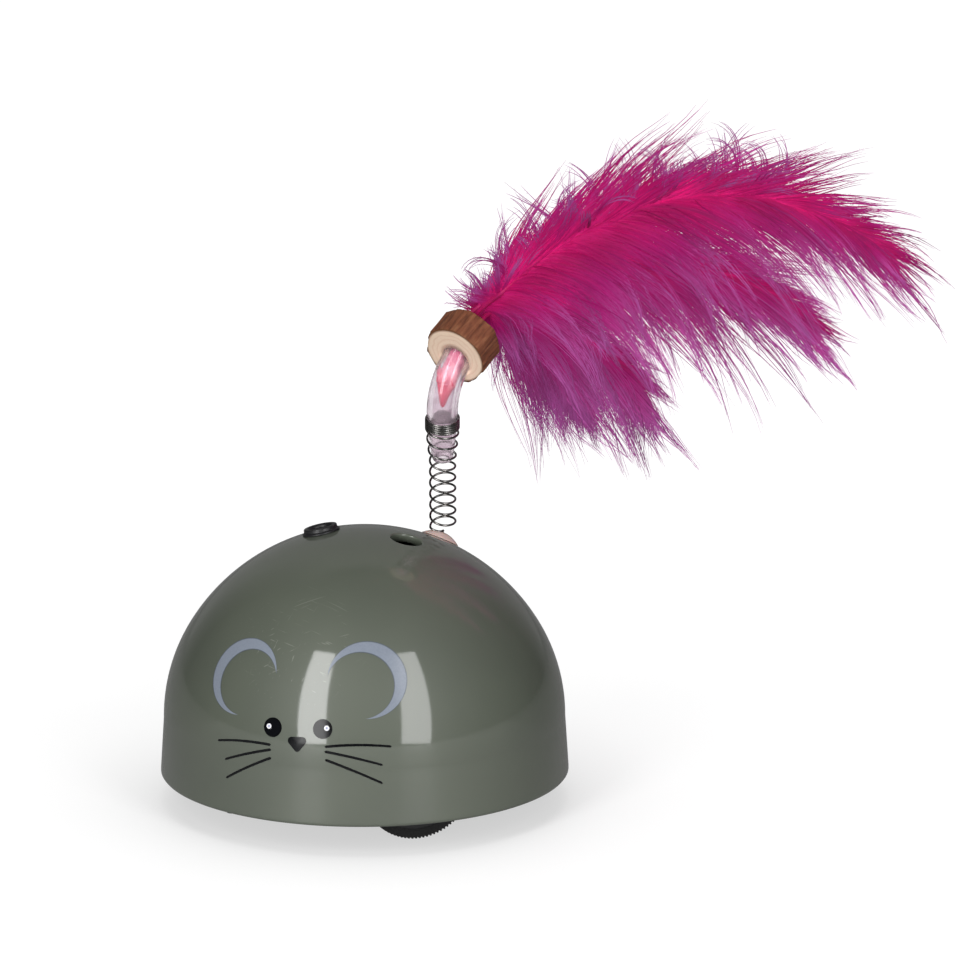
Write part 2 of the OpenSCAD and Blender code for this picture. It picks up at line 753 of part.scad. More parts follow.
// Frame of the spring: Z along its axis, X in the plane of the tube's bend
module on_spring() {
    translate(spring_foot) rotate([0, 0, lean_azimuth]) rotate([0, spring_lean, 0])
        rotate([0, 0, bend_azimuth]) children();
}

module spring_tube() {
    bore_r = tube_bore / 2;
    pinch_bore_r = pinch_d / 2 - 0.8;
    waist_bore_r = min(bore_r, waist_d / 2 - 1);
    color(clear_vinyl) on_spring() {
        rotate_extrude() polygon([
            [pinch_bore_r, tube_start], [pinch_d / 2, tube_start], [waist_d / 2, waist_start],
            [waist_d / 2, waist_end], [tube_d / 2, waist_end + waist_run], [tube_d / 2, bend_start],
            [bore_r, bend_start], [bore_r, waist_end + waist_run], [waist_bore_r, waist_end],
            [waist_bore_r, waist_start]]);
        translate([bend_r, 0, bend_start]) rotate([90, 0, 180]) {
            rotate_extrude(angle = bend_angle) translate([bend_r, 0]) difference() {
                circle(d = tube_d);
                circle(d = tube_bore);
            }
            rotate([0, 0, bend_angle]) translate([bend_r, 0, 0]) rotate([-90, 0, 0])
                translate([0, 0, -tail_lap]) linear_extrude(tube_tail + tail_lap) difference() {
                    circle(r = tail_r);
                    circle(d = tube_bore - 2 * tail_swell);
                }
        }
    }
}

// Outline of the branch: a round that wanders in and out a little
function branch_r(a) = disc_d / 2 * (1 + 0.035 * sin(2 * a + 40) + 0.025 * sin(3 * a) + 0.018 * cos(7 * a));

module wood_disc() {
    color(wood_tan) translate(disc_centre) difference() {
        on_direction(disc_axis) translate([0, 0, -disc_t / 2]) linear_extrude(disc_t)
            polygon([for (a = [0:8:352]) branch_r(a) * [cos(a), sin(a)]]);
        on_direction(tube_end_axis) cylinder(r = tail_r + press_gap, h = 3 * disc_t, center = true);
    }
}

// Turns Z to a direction
module on_direction(v) {
    rotate([0, acos(v[2]), atan2(v[1], v[0])]) children();
}

module feather(f) {
    path = feather_path(f);
    rings = len(path);
    color(feather_magenta) polyhedron(
        points = [for (i = [0:rings - 1]) each feather_ring(f, path, i)],
        faces = tube_faces(rings, vane_sides));
}

module base_plate() {
    color(part_black) rotate([0, 0, drive_yaw]) difference() {
        union() {
            rotate_extrude() polygon([
                [0, 0], [dish_r, 0], [dish_r, flange_z], [flange_r, flange_z], [flange_r, flange_top],
                [dish_r - dish_wall, flange_top], [dish_r - dish_wall, base_t], [0, base_t]]);
            translate([-box_half_u - box_wall, -box_half_v - box_wall, 0])
                cube([2 * (box_half_u + box_wall), 2 * (box_half_v + box_wall), box_top]);
            for (side = [-1, 1]) {
                translate([0, side * skid_r, 0]) rotate_extrude() polygon([
                    [0, floor_z], [skid_d / 4, floor_z], [skid_d / 2, floor_z + skid_d / 4],
                    [skid_d / 2, base_t / 2], [0, base_t / 2]]);
                translate([side * post_at, 0, box_top - base_t / 2])
                    cylinder(r = post_r, h = board_lift + base_t / 2);
            }
            translate([0, door_screw_v, 0]) cylinder(r = door_boss_r, h = door_boss_h);
        }
        translate([-box_half_u, -box_half_v, door_t / 2])
            cube([2 * box_half_u, 2 * box_half_v, box_top_in - door_t / 2]);
        translate([-box_half_u, -door_half_v - door_gap, -cut])
            cube([2 * box_half_u, 2 * (door_half_v + door_gap), box_top_in / 2]);
        translate([-ear_w / 2 - door_gap, 0, -cut])
            cube([ear_w + 2 * door_gap, door_half_v + ear_len + door_gap, cut + door_t + seat_gap]);
        translate([-tongue_w / 2 - door_gap, -box_half_v - box_wall - cut, base_t])
            cube([tongue_w + 2 * door_gap, box_wall + 2 * cut, tongue_t + 2 * seat_gap + 0.2]);
        translate([0, door_screw_v, -cut]) cylinder(r = screw_r + press_gap, h = door_boss_h + 2 * cut);
        for (side = [-1, 1]) {
            rotate([0, 0, side * 90 + 90]) translate([wheel_in - wheel_side_gap / 2, -wheel_slot, -cut])
                cube([tyre_w + 1.5 * wheel_side_gap, 2 * wheel_slot, flange_top + 2 * cut]);
            translate([side * post_at, 0, board_z - board_screw_len - 1])
                cylinder(r = board_screw_r + press_gap, h = board_screw_len + 1 + cut);
            for (v = [-foot_at, foot_at]) translate([side * frame_middle, v, -cut]) {
                cylinder(r = foot_hole_r + slip_gap, h = base_t + 2 * cut);
                cylinder(r = foot_head_r + slip_gap, h = foot_head_h + cut);
            }
        }
        for (a = base_screw_angles) rotate([0, 0, a]) translate([base_screw_r, 0, -cut]) {
            cylinder(r = screw_r + slip_gap, h = flange_top + 2 * cut);
            cylinder(r = screw_head_r + head_gap, h = flange_z + cut);
        }
    }
}

// A pan-head screw that points up from the underside of its head
module screw(r, len, head_r, head_h) {
    cylinder(r = r, h = len);
    translate([0, 0, -head_h]) cylinder(r1 = head_r - 0.4, r2 = head_r, h = head_h);
}

module base_screws() {
    color(spring_steel) for (a = base_screw_angles) rotate([0, 0, drive_yaw + a])
        translate([base_screw_r, 0, flange_z])
            screw(screw_r, base_t + base_screw_len - 0.5, screw_head_r, screw_head_h);
}

module battery_door() {
    color(part_black) rotate([0, 0, drive_yaw]) difference() {
        union() {
            translate([-door_half_u, -door_half_v, 0]) cube([2 * door_half_u, 2 * door_half_v, door_t]);
            translate([-ear_w / 2, 0, 0]) cube([ear_w, door_half_v + ear_len, door_t]);
            translate([-tongue_w / 2, -door_half_v, door_t / 2])
                cube([tongue_w, tongue_rise, base_t - door_t / 2 + 0.2]);
            translate([-tongue_w / 2, -door_half_v - tongue_len, base_t + 0.1])
                cube([tongue_w, tongue_len + tongue_rise, tongue_t]);
        }
        translate([0, door_screw_v, -cut]) cylinder(r = screw_r + slip_gap, h = door_t + 2 * cut);
        translate([0, door_screw_v, -cut]) cylinder(r = foot_head_r + slip_gap, h = door_head_h + cut);
        for (v = [-1, 0, 1]) translate([-grip_l / 2, -door_half_v + grip_in + grip_step * v, -cut])
            cube([grip_l, grip_w, cut + grip_depth]);
    }
}

module battery_door_screw() {
    color(spring_steel) rotate([0, 0, drive_yaw]) translate([0, door_screw_v, door_head_h])
        screw(screw_r, door_boss_h - door_head_h - 1, foot_head_r, door_head_h);
}

// The middle cell lies the other way round, so that the three are in series
module battery_cells() {
    color(cell_grey) rotate([0, 0, drive_yaw]) for (i = [-1, 0, 1])
        translate([i * cell_pitch, 0, cell_z]) rotate([i == 0 ? 90 : -90, 0, 0]) {
            translate([0, 0, -cell_len / 2]) cylinder(d = cell_d, h = cell_len - 0.8);
            translate([0, 0, cell_len / 2 - 1]) cylinder(d = 3.8, h = 1);
        }
}

module battery_contacts() {
    tip = contact_room - contact_t - slip_gap;
    color("silver") rotate([0, 0, drive_yaw]) for (end = [0, 180]) rotate([0, 0, end]) {
        translate([-box_half_u + contact_side, box_half_v - contact_t, cell_z - contact_h / 2])
            cube([2 * (box_half_u - contact_side), contact_t, contact_h]);
        for (i = [-1, 0, 1])
            translate([i * cell_pitch + leaf_w / 2, box_half_v - contact_t, cell_z]) rotate([90, 0, -90])
                linear_extrude(leaf_w) polygon([
                    [0, leaf_h], [0, leaf_h - 2 * leaf_t], [tip - leaf_t, leaf_t], [tip - leaf_t, -leaf_t],
                    [0, 2 * leaf_t - leaf_h], [0, -leaf_h], [tip, -2 * leaf_t], [tip, 2 * leaf_t]]);
    }
}

module control_board() {
    color(board_green) rotate([0, 0, drive_yaw]) translate([0, 0, board_z]) difference() {
        translate([-board_l / 2, -board_w / 2, 0]) cube([board_l, board_w, board_t]);
        for (side = [-1, 1]) translate([side * post_at, 0, -cut])
            cylinder(r = board_screw_r + slip_gap, h = board_t + 2 * cut);
    }
}

// Motor driver, controller, capacitor and the plug sockets of the leads
module board_parts() {
    color(part_black) rotate([0, 0, drive_yaw]) translate([0, 0, board_z + board_t]) {
        for (at = chip_at) translate(at) cube(chip_size);
        translate(capacitor_at) cylinder(d = capacitor_d, h = capacitor_h);
        for (at = lead_socket_at) translate(at) difference() {
            cube([lead_socket_w, lead_socket_t, lead_socket_h]);
            translate([lead_socket_wall, lead_socket_wall, lead_socket_wall])
                cube([lead_socket_w - 2 * lead_socket_wall, lead_socket_t - 2 * lead_socket_wall,
                      lead_socket_h]);
        }
    }
}

module board_screws() {
    color(spring_steel) rotate([0, 0, drive_yaw]) for (side = [-1, 1])
        translate([side * post_at, 0, board_z + board_t]) rotate([180, 0, 0])
            screw(board_screw_r, board_screw_len, 2, 1.3);
}

// Moulded frame of one gear train: two plates, two feet and a spacer post
module gear_frame() {
    width = frame_out + plate_t - frame_in;
    color(gear_white) difference() {
        union() {
            on_axis([0, 0], frame_in) linear_extrude(plate_t) plate_outline(true);
            on_axis([0, 0], frame_out) linear_extrude(plate_t) plate_outline(false);
            on_axis(spacer_at, frame_in + plate_t / 2) cylinder(r = spacer_r, h = width - plate_t);
            on_axis(axle_at, frame_in + plate_t / 2)
                cylinder(r = pin_r + 1, h = first_plane + face_w - frame_in - plate_t / 2);
            for (side = [-1, 1]) translate([frame_in, side * foot_at - foot_w / 2, base_t])
                cube([width, foot_w, foot_h]);
        }
        on_axis(axle_at, frame_in - cut) cylinder(r = pin_r + run_gap, h = width + 2 * cut);
        for (at = [first_at, second_at]) on_axis(at, frame_in - cut)
            cylinder(r = pin_r + press_gap, h = width + 2 * cut);
        on_axis(motor_at, frame_in - cut) cylinder(r = motor_boss_r + slip_gap, h = plate_t + 2 * cut);
        for (up = [-1, 1]) on_axis(motor_at + [0, up * motor_screw_up], frame_in - cut)
            cylinder(r = motor_screw_r + slip_gap, h = plate_t + 2 * cut);
        for (side = [-1, 1]) translate([frame_middle, side * foot_at, base_t - cut])
            cylinder(r = foot_hole_r + press_gap, h = foot_h - 0.5 + cut);
    }
}

// Outline of a frame plate: a web round the gear axes, with the motor's seat on the inner plate
module plate_outline(with_motor) {
    hull() {
        for (at = [axle_at, second_at, first_at, spacer_at]) translate(at) circle(r = 3, $fn = 32);
        for (side = [-1, 1]) translate([side * foot_at - 2, base_t]) square([4, foot_h]);
    }
    if (with_motor) hull() {
        translate(motor_at) circle(r = motor_screw_up + 2, $fn = 48);
        translate(first_at) circle(r = 5, $fn = 32);
    }
}

module frame_screws() {
    color(spring_steel) for (side = [-1, 1]) translate([frame_middle, side * foot_at, foot_head_h])
        screw(foot_hole_r, base_t - foot_head_h + foot_h - 1, foot_head_r, foot_head_h - 0.2);
}

module motor() {
    color("silver") on_axis(motor_at, frame_in - motor_len) difference() {
        union() {
            intersection() {
                cylinder(d = motor_d, h = motor_len);
                translate([-motor_d, -motor_t / 2, 0]) cube([2 * motor_d, motor_t, motor_len]);
            }
            translate([0, 0, motor_len - cut]) cylinder(r = motor_boss_r, h = motor_boss_h + cut);
            translate([0, 0, -1.5]) cylinder(r = 4, h = 2);
            for (side = [-1, 1]) translate([side * 7 - 1.2, -0.3, -3]) cube([2.4, 0.6, 4]);
        }
        translate([0, 0, motor_len - shaft_depth])
            cylinder(r = pin_r + run_gap, h = shaft_depth + motor_boss_h + cut);
        for (up = [-1, 1]) translate([0, up * motor_screw_up, motor_len - motor_screw_bite - 0.5])
            cylinder(r = motor_screw_r + press_gap, h = motor_screw_bite + 0.5 + cut);
    }
}

module motor_screws() {
    color(spring_steel) for (up = [-1, 1]) on_axis(motor_at + [0, up * motor_screw_up], frame_in + plate_t)
        rotate([180, 0, 0]) screw(motor_screw_r, plate_t + motor_screw_bite, 1.5, 1);
}

module rotor_shaft() {
    color(spring_steel) on_axis(motor_at, frame_in - shaft_depth + 0.5)
        cylinder(r = pin_r, h = shaft_depth + plate_t + face_w + 0.4);
}

module gear_blank(n, turn, h) {
    rotate([0, 0, turn]) linear_extrude(h) polygon(gear_points(n));
}

module pinion() {
    color("goldenrod") on_axis(motor_at, first_plane) difference() {
        gear_blank(pinion_n, pinion_turn, face_w);
        translate([0, 0, -cut]) cylinder(r = pin_r + press_gap, h = face_w + 2 * cut);
    }
}

// A large and a small gear in one piece, with collars that keep it in place between the plates
module compound_gear(at, large_n, large_turn, small_turn, plane) {
    inner = frame_in + plate_t + gear_play;
    outer = frame_out - gear_play;
    step = plane + face_w;
    color(gear_white) difference() {
        union() {
            on_axis(at, plane) gear_blank(large_n, large_turn, face_w);
            on_axis(at, step) gear_blank(pinion_n, small_turn, face_w + 0.4);
            on_axis(at, inner) cylinder(r = pin_r + 0.75, h = outer - inner);
        }
        on_axis(at, inner - cut) cylinder(r = pin_r + run_gap, h = outer - inner + 2 * cut);
    }
}

module first_gear() {
    compound_gear(first_at, first_n, first_small_turn, first_small_turn, first_plane);
}

module second_gear() {
    compound_gear(second_at, second_n, second_small_turn, second_small_turn, second_plane);
}

module gear_pins() {
    color(spring_steel) for (at = [first_at, second_at]) on_axis(at, frame_in + 0.2)
        cylinder(r = pin_r, h = frame_out + plate_t - frame_in - 0.4);
}

module axle() {
    color(spring_steel) on_axis(axle_at, frame_in + 0.3)
        cylinder(r = pin_r, h = wheel_in + tyre_w - 0.5 - frame_in - 0.3);
}

module wheel_gear() {
    color(gear_white) difference() {
        union() {
            on_axis(axle_at, wheel_plane) gear_blank(wheel_n, wheel_gear_turn, face_w);
            on_axis(axle_at, wheel_plane) cylinder(r = pin_r + 1, h = frame_out - gear_play - wheel_plane);
        }
        on_axis(axle_at, wheel_plane - cut) cylinder(r = pin_r + press_gap, h = face_w + 3 * cut);
    }
}

module wheel_hub() {
    rim_in = hub_r - 1.5;
    out = wheel_in + tyre_w;
    color(part_black) on_axis(axle_at, 0) rotate_extrude() polygon([
        [pin_r + press_gap, hub_boss_in], [hub_boss_r, hub_boss_in], [hub_boss_r, wheel_in + 2],
        [rim_in, wheel_in + 2], [rim_in, wheel_in + 0.2], [hub_r, wheel_in + 0.2], [hub_r, out - 0.2],
        [rim_in, out - 0.2], [rim_in, wheel_in + 3.6], [hub_boss_r, wheel_in + 3.6],
        [hub_boss_r, out - 0.2], [pin_r + press_gap, out - 0.2]]);
}

module tyre() {
    tooth_h = 0.35;
    color(part_black) on_axis(axle_at, wheel_in) difference() {
        linear_extrude(tyre_w) polygon([for (k = [0:tyre_teeth - 1], i = [0:3])
            let (a = (k + [0, 0.15, 0.5, 0.65][i]) * 360 / tyre_teeth,
                 r = wheel_d / 2 - [tooth_h, 0, 0, tooth_h][i])
            r * [cos(a), sin(a)]]);
        translate([0, 0, -cut]) cylinder(r = hub_r + press_gap, h = tyre_w + 2 * cut);
    }
}

dome_shell();
face_ears();
face_features();
eye_spots();
switch_bezel();
switch_nut();
power_button();
spring_plug();
feather_spring();
spring_tube();
wood_disc();
feather(long_feather);  // feather_long
feather(middle_feather);  // feather_middle
feather(low_feather);  // feather_low
feather(short_feather);  // feather_short
base_plate();
base_screws();
battery_door();
battery_door_screw();
battery_cells();
battery_contacts();
control_board();
board_parts();
board_screws();
left_side() gear_frame();  // left_gear_frame
left_side() frame_screws();  // left_frame_screws
left_side() motor();  // left_motor
left_side() motor_screws();  // left_motor_screws
left_side() rotor_shaft();  // left_rotor_shaft
left_side() pinion();  // left_pinion
left_side() first_gear();  // left_first_gear
left_side() second_gear();  // left_second_gear
left_side() gear_pins();  // left_gear_pins
left_side() axle();  // left_axle
left_side() wheel_gear();  // left_wheel_gear
left_side() wheel_hub();  // left_wheel_hub
left_side() tyre();  // left_tyre
right_side() gear_frame();  // right_gear_frame
right_side() frame_screws();  // right_frame_screws
right_side() motor();  // right_motor
right_side() motor_screws();  // right_motor_screws
right_side() rotor_shaft();  // right_rotor_shaft
right_side() pinion();  // right_pinion
right_side() first_gear();  // right_first_gear
right_side() second_gear();  // right_second_gear
right_side() gear_pins();  // right_gear_pins
right_side() axle();  // right_axle
right_side() wheel_gear();  // right_wheel_gear
right_side() wheel_hub();  // right_wheel_hub
right_side() tyre();  // right_tyre
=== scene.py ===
"""Looks of the robotic mouse cat toy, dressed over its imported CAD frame.

Blender works in metres in the frame of the CAD model: +Z up, the mouse faces -Y, and the origin is the middle
of the flat underside. The classes hold their sizes in millimetres, and make_piece scales them once.
"""

from __future__ import annotations

import logging
import math
from dataclasses import dataclass, field
from enum import Enum

import bmesh
import bpy
import numpy as np
from mathutils import Matrix, Vector


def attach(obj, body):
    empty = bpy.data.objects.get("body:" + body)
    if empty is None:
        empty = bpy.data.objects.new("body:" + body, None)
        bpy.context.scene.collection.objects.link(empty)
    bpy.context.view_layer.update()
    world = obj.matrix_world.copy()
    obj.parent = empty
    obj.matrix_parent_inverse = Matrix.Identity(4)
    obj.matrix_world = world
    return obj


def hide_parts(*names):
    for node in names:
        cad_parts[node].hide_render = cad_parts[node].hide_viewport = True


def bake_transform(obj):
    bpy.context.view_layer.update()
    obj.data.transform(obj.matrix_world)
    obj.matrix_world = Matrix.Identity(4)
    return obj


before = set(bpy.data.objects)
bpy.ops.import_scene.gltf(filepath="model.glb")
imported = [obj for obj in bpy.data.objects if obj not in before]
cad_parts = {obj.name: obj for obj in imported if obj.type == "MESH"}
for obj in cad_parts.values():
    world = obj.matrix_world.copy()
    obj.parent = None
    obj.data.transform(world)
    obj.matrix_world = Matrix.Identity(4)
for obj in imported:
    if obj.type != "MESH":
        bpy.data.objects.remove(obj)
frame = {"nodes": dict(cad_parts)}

LOG = logging.getLogger("cat_toy")
MM = 0.001
VIEW_AZIMUTH = 18.5
UP = np.array([0.0, 0.0, 1.0])
Array = np.ndarray
Material = bpy.types.Material
Tree = bpy.types.NodeTree
Node = bpy.types.Node
Socket = bpy.types.NodeSocket
Piece = bpy.types.Object
Surface = tuple[Array, list[Array]]
Artwork = tuple[Array, list[Array], Array]


# Colour and node helpers

def linear(hex_colour: str) -> tuple[float, float, float, float]:
    """Turn an sRGB hex colour into linear light: each channel is undone from the sRGB curve.

    Args:
        hex_colour: Six hex digits after a hash sign.

    Returns:
        Linear red, green, blue and an alpha of one.
    """
    srgb = np.array([int(hex_colour[i:i + 2], 16) for i in (1, 3, 5)]) / 255
    light = np.where(srgb <= 0.04045, srgb / 12.92, ((srgb + 0.055) / 1.055) ** 2.4)
    return (*light.tolist(), 1.0)


def per_mm(size: float) -> float:
    """Texture scale, in a frame in metres, of a pattern whose marks are this many millimetres across."""
    return 1000.0 / size


def join(tree: Tree, node: Node, links: dict) -> None:
    """Feed the inputs of a node.

    Args:
        tree: The node tree.
        node: The node.
        links: Input name or number to a plain value, a socket, or a node whose first output feeds it.
    """
    for key, value in links.items():
        source = value.outputs[0] if isinstance(value, Node) else value
        if isinstance(source, Socket):
            tree.links.new(source, node.inputs[key])
        else:
            node.inputs[key].default_value = source


def add_node(tree: Tree, kind: str, links: dict, **settings: object) -> Node:
    """Add a node with its settings and links.

    Args:
        tree: The node tree.
        kind: Blender's name of the node type, without its first word.
        links: What feeds its inputs, as in join.
        **settings: Properties of the node.

    Returns:
        The new node.
    """
    node = tree.nodes.new("ShaderNode" + kind)
    for key, value in settings.items():
        setattr(node, key, value)
    join(tree, node, links)
    return node


def bare_material(name: str) -> tuple[Material, Tree, Node, Socket]:
    """Start a material.

    Args:
        name: Name of the material.

    Returns:
        The material, its tree, its Principled node and its Object coordinates.
    """
    material = bpy.data.materials.new(name)
    material.use_nodes = True
    tree = material.node_tree
    return material, tree, tree.nodes["Principled BSDF"], add_node(tree, "TexCoord", {}).outputs["Object"]


# Finishes

@dataclass(frozen=True)
class GlossShell:
    """Polished olive grey ABS, injection moulded: a clear gloss, hair-scratched where hands rub the brow."""

    colour: str = "#5a6055"
    cloud: str = "#5f6559"
    scratch: str = "#a9aca2"
    rubbed: tuple = (-2.6, -37.2, 43.0)
    rubbed_tilt: float = 41.0
    rubbed_reach: tuple = (18.0, 6.0)
    strokes: tuple = (-20.0, 28.0, 72.0)

    def make(self) -> Material:
        """Draw colour drift at 30 mm, pale hair lines in one rubbed patch, and a soft flow bump.

        Real hair lines are finer; these are drawn about 0.3 mm wide, so that they show.

        Returns:
            The material.
        """
        material, tree, surface, place = bare_material("gloss_abs_olive")
        drift = add_node(tree, "TexNoise", {"Vector": place, "Scale": per_mm(30)})
        cloud = add_node(tree, "MapRange", {"Value": drift, "From Min": 0.35, "From Max": 0.65})
        base = add_node(tree, "Mix", {0: cloud, 6: linear(self.colour), 7: linear(self.cloud)},
                        data_type="RGBA")
        off = add_node(tree, "VectorMath", {0: place, 1: [c * MM for c in self.rubbed]}, operation="DISTANCE")
        far, near = (reach * MM for reach in self.rubbed_reach)
        patch = add_node(tree, "MapRange", {"Value": off.outputs["Value"], "From Min": far, "From Max": near})
        tilt = Matrix.Rotation(math.radians(self.rubbed_tilt), 3, "X")
        lines = 0.0
        for stroke in self.strokes:
            lay = tilt @ Matrix.Rotation(math.radians(stroke), 3, "Z")
            hair = add_node(tree, "Mapping", {"Vector": place, "Rotation": lay.to_euler(),
                                              "Scale": (24, 1, 1)}, vector_type="TEXTURE")
            fine = add_node(tree, "TexNoise", {"Vector": hair, "Scale": per_mm(0.6), "Detail": 1.0})
            line = add_node(tree, "MapRange", {"Value": fine, "From Min": 0.7, "From Max": 0.78})
            lines = add_node(tree, "Math", {0: line, 1: lines}, operation="MAXIMUM")
        scuff = add_node(tree, "Math", {0: lines, 1: patch}, operation="MULTIPLY")
        pale = add_node(tree, "Math", {0: scuff, 1: 0.3}, operation="MULTIPLY")
        tint = add_node(tree, "Mix", {0: pale, 6: base.outputs[2], 7: linear(self.scratch)}, data_type="RGBA")
        haze = add_node(tree, "MapRange", {"Value": drift, "To Min": 0.05, "To Max": 0.09})
        rough = add_node(tree, "Math", {0: scuff, 1: 0.08, 2: haze}, operation="MULTIPLY_ADD")
        flow = add_node(tree, "TexNoise", {"Vector": place, "Scale": per_mm(9), "Detail": 1.0})
        bump = add_node(tree, "Bump", {"Height": flow, "Distance": 0.004 * MM})
        join(tree, surface, {"Base Color": tint.outputs[2], "Roughness": 0.55, "IOR": 1.5,
                             "Specular IOR Level": 0.45, "Coat Weight": 1.0, "Coat Roughness": rough,
                             "Coat IOR": 1.5, "Coat Normal": bump})
        return material


@dataclass(frozen=True)
class PrintedInk:
    """Pad-printed ink: a thin film with a screen mottle, which reflects less than the plastic under it."""

    name: str
    colour: str
    edge: str
    gloss: float = 0.12
    shine: float = 0.22

    def make(self) -> Material:
        """Draw a 0.5 mm mottle, coarser than a real screen so that it shows, and a darker line at the edge.

        Returns:
            The material.
        """
        material, tree, surface, place = bare_material(self.name)
        screen = add_node(tree, "TexNoise", {"Vector": place, "Scale": per_mm(0.5)})
        mottle = add_node(tree, "MapRange", {"Value": screen, "From Min": 0.3, "From Max": 0.7,
                                             "To Min": 0.95, "To Max": 1.03})
        border = add_node(tree, "Attribute", {}, attribute_name="edge").outputs["Fac"]
        ends = add_node(tree, "MapRange", {"Value": border, "From Min": 0.8, "From Max": 0.96})
        tone = add_node(tree, "Mix", {0: ends, 6: linear(self.colour), 7: linear(self.edge)},
                        data_type="RGBA")
        film = add_node(tree, "Mix", {0: 1.0, 6: tone.outputs[2], 7: mottle.outputs[0]}, data_type="RGBA",
                        blend_type="MULTIPLY")
        rough = add_node(tree, "MapRange", {"Value": screen, "To Min": self.gloss * 0.8,
                                            "To Max": self.gloss * 1.3})
        join(tree, surface, {"Base Color": film.outputs[2], "Roughness": rough,
                             "Specular IOR Level": self.shine})
        return material


class Grain(Enum):
    """How the mould or tool left the surface: mark size and depth in millimetres, then two roughness ends."""

    SPARK = (0.35, 0.012, 0.36, 0.52)
    SATIN = (0.6, 0.006, 0.24, 0.36)
    SOFT = (1.5, 0.006, 0.34, 0.44)
    RUBBER = (0.45, 0.03, 0.6, 0.78)
    WRAP = (2.0, 0.005, 0.3, 0.4)


@dataclass(frozen=True)
class MouldedPlastic:
    """Moulded plastic or rubber: a grain from the mould, and a slow drift to a worn colour."""

    name: str
    colour: str
    worn: str
    grain: Grain
    scatter: float = 0.0

    def make(self) -> Material:
        """Draw the grain as bump and roughness, and let 6 mm patches drift to the worn colour.

        Returns:
            The material.
        """
        size, depth, smooth, rough = self.grain.value
        material, tree, surface, place = bare_material(self.name)
        marks = add_node(tree, "TexNoise", {"Vector": place, "Scale": per_mm(size)})
        cloud = add_node(tree, "TexNoise", {"Vector": place, "Scale": per_mm(6)})
        wear = add_node(tree, "MapRange", {"Value": cloud, "From Min": 0.45, "From Max": 0.75, "To Max": 0.6})
        tint = add_node(tree, "Mix", {0: wear, 6: linear(self.colour), 7: linear(self.worn)},
                        data_type="RGBA")
        haze = add_node(tree, "MapRange", {"Value": marks, "From Min": 0.3, "From Max": 0.7,
                                           "To Min": smooth, "To Max": rough})
        bump = add_node(tree, "Bump", {"Height": marks, "Distance": depth * MM})
        join(tree, surface, {"Base Color": tint.outputs[2], "Roughness": haze, "IOR": 1.5, "Normal": bump,
                             "Subsurface Weight": self.scatter, "Subsurface Scale": 2 * MM})
        return material


@dataclass(frozen=True)
class WorkedMetal:
    """Drawn, turned or plated metal: hard reflections broken by fine tool lines and a little tarnish."""

    name: str
    colour: str
    tarnish: str
    smooth: float
    rough: float

    def make(self) -> Material:
        """Draw tool marks in the roughness and 3 mm clouds of tarnish in the colour.

        Real tool marks are finer; these are 0.3 mm wide, so that they show.

        Returns:
            The material.
        """
        material, tree, surface, place = bare_material(self.name)
        drawn = add_node(tree, "Mapping", {"Vector": place, "Scale": (1, 1, 0.35)})
        marks = add_node(tree, "TexNoise", {"Vector": drawn, "Scale": per_mm(0.3)})
        cloud = add_node(tree, "TexNoise", {"Vector": place, "Scale": per_mm(3)})
        dull = add_node(tree, "MapRange", {"Value": cloud, "From Min": 0.4, "From Max": 0.75})
        tint = add_node(tree, "Mix", {0: dull, 6: linear(self.colour), 7: linear(self.tarnish)},
                        data_type="RGBA")
        haze = add_node(tree, "MapRange", {"Value": marks, "From Min": 0.3, "From Max": 0.7,
                                           "To Min": self.smooth, "To Max": self.rough})
        bump = add_node(tree, "Bump", {"Height": marks, "Distance": 0.004 * MM})
        join(tree, surface, {"Base Color": tint.outputs[2], "Metallic": 1.0, "Roughness": haze,
                             "Normal": bump})
        return material


@dataclass(frozen=True)
class ClearVinyl:
    """Extruded flexible vinyl tube: clear but milky, tinted by the dye, with soft drawn streaks."""

    colour: str = "#e9dfe5"
    cloud: str = "#cbbcc6"

    def make(self) -> Material:
        """Let most of the light through a half-rough skin and cloud it at 3 mm.

        Returns:
            The material.
        """
        material, tree, surface, place = bare_material("clear_vinyl")
        haze = add_node(tree, "TexNoise", {"Vector": place, "Scale": per_mm(3)})
        cloud = add_node(tree, "MapRange", {"Value": haze, "From Min": 0.4, "From Max": 0.7})
        tint = add_node(tree, "Mix", {0: cloud, 6: linear(self.colour), 7: linear(self.cloud)},
                        data_type="RGBA")
        rough = add_node(tree, "MapRange", {"Value": haze, "From Min": 0.3, "From Max": 0.7,
                                            "To Min": 0.1, "To Max": 0.2})
        bump = add_node(tree, "Bump", {"Height": haze, "Distance": 0.01 * MM})
        join(tree, surface, {"Base Color": tint.outputs[2], "Roughness": rough, "IOR": 1.48, "Normal": bump,
                             "Transmission Weight": 0.92, "Specular IOR Level": 0.25})
        return material


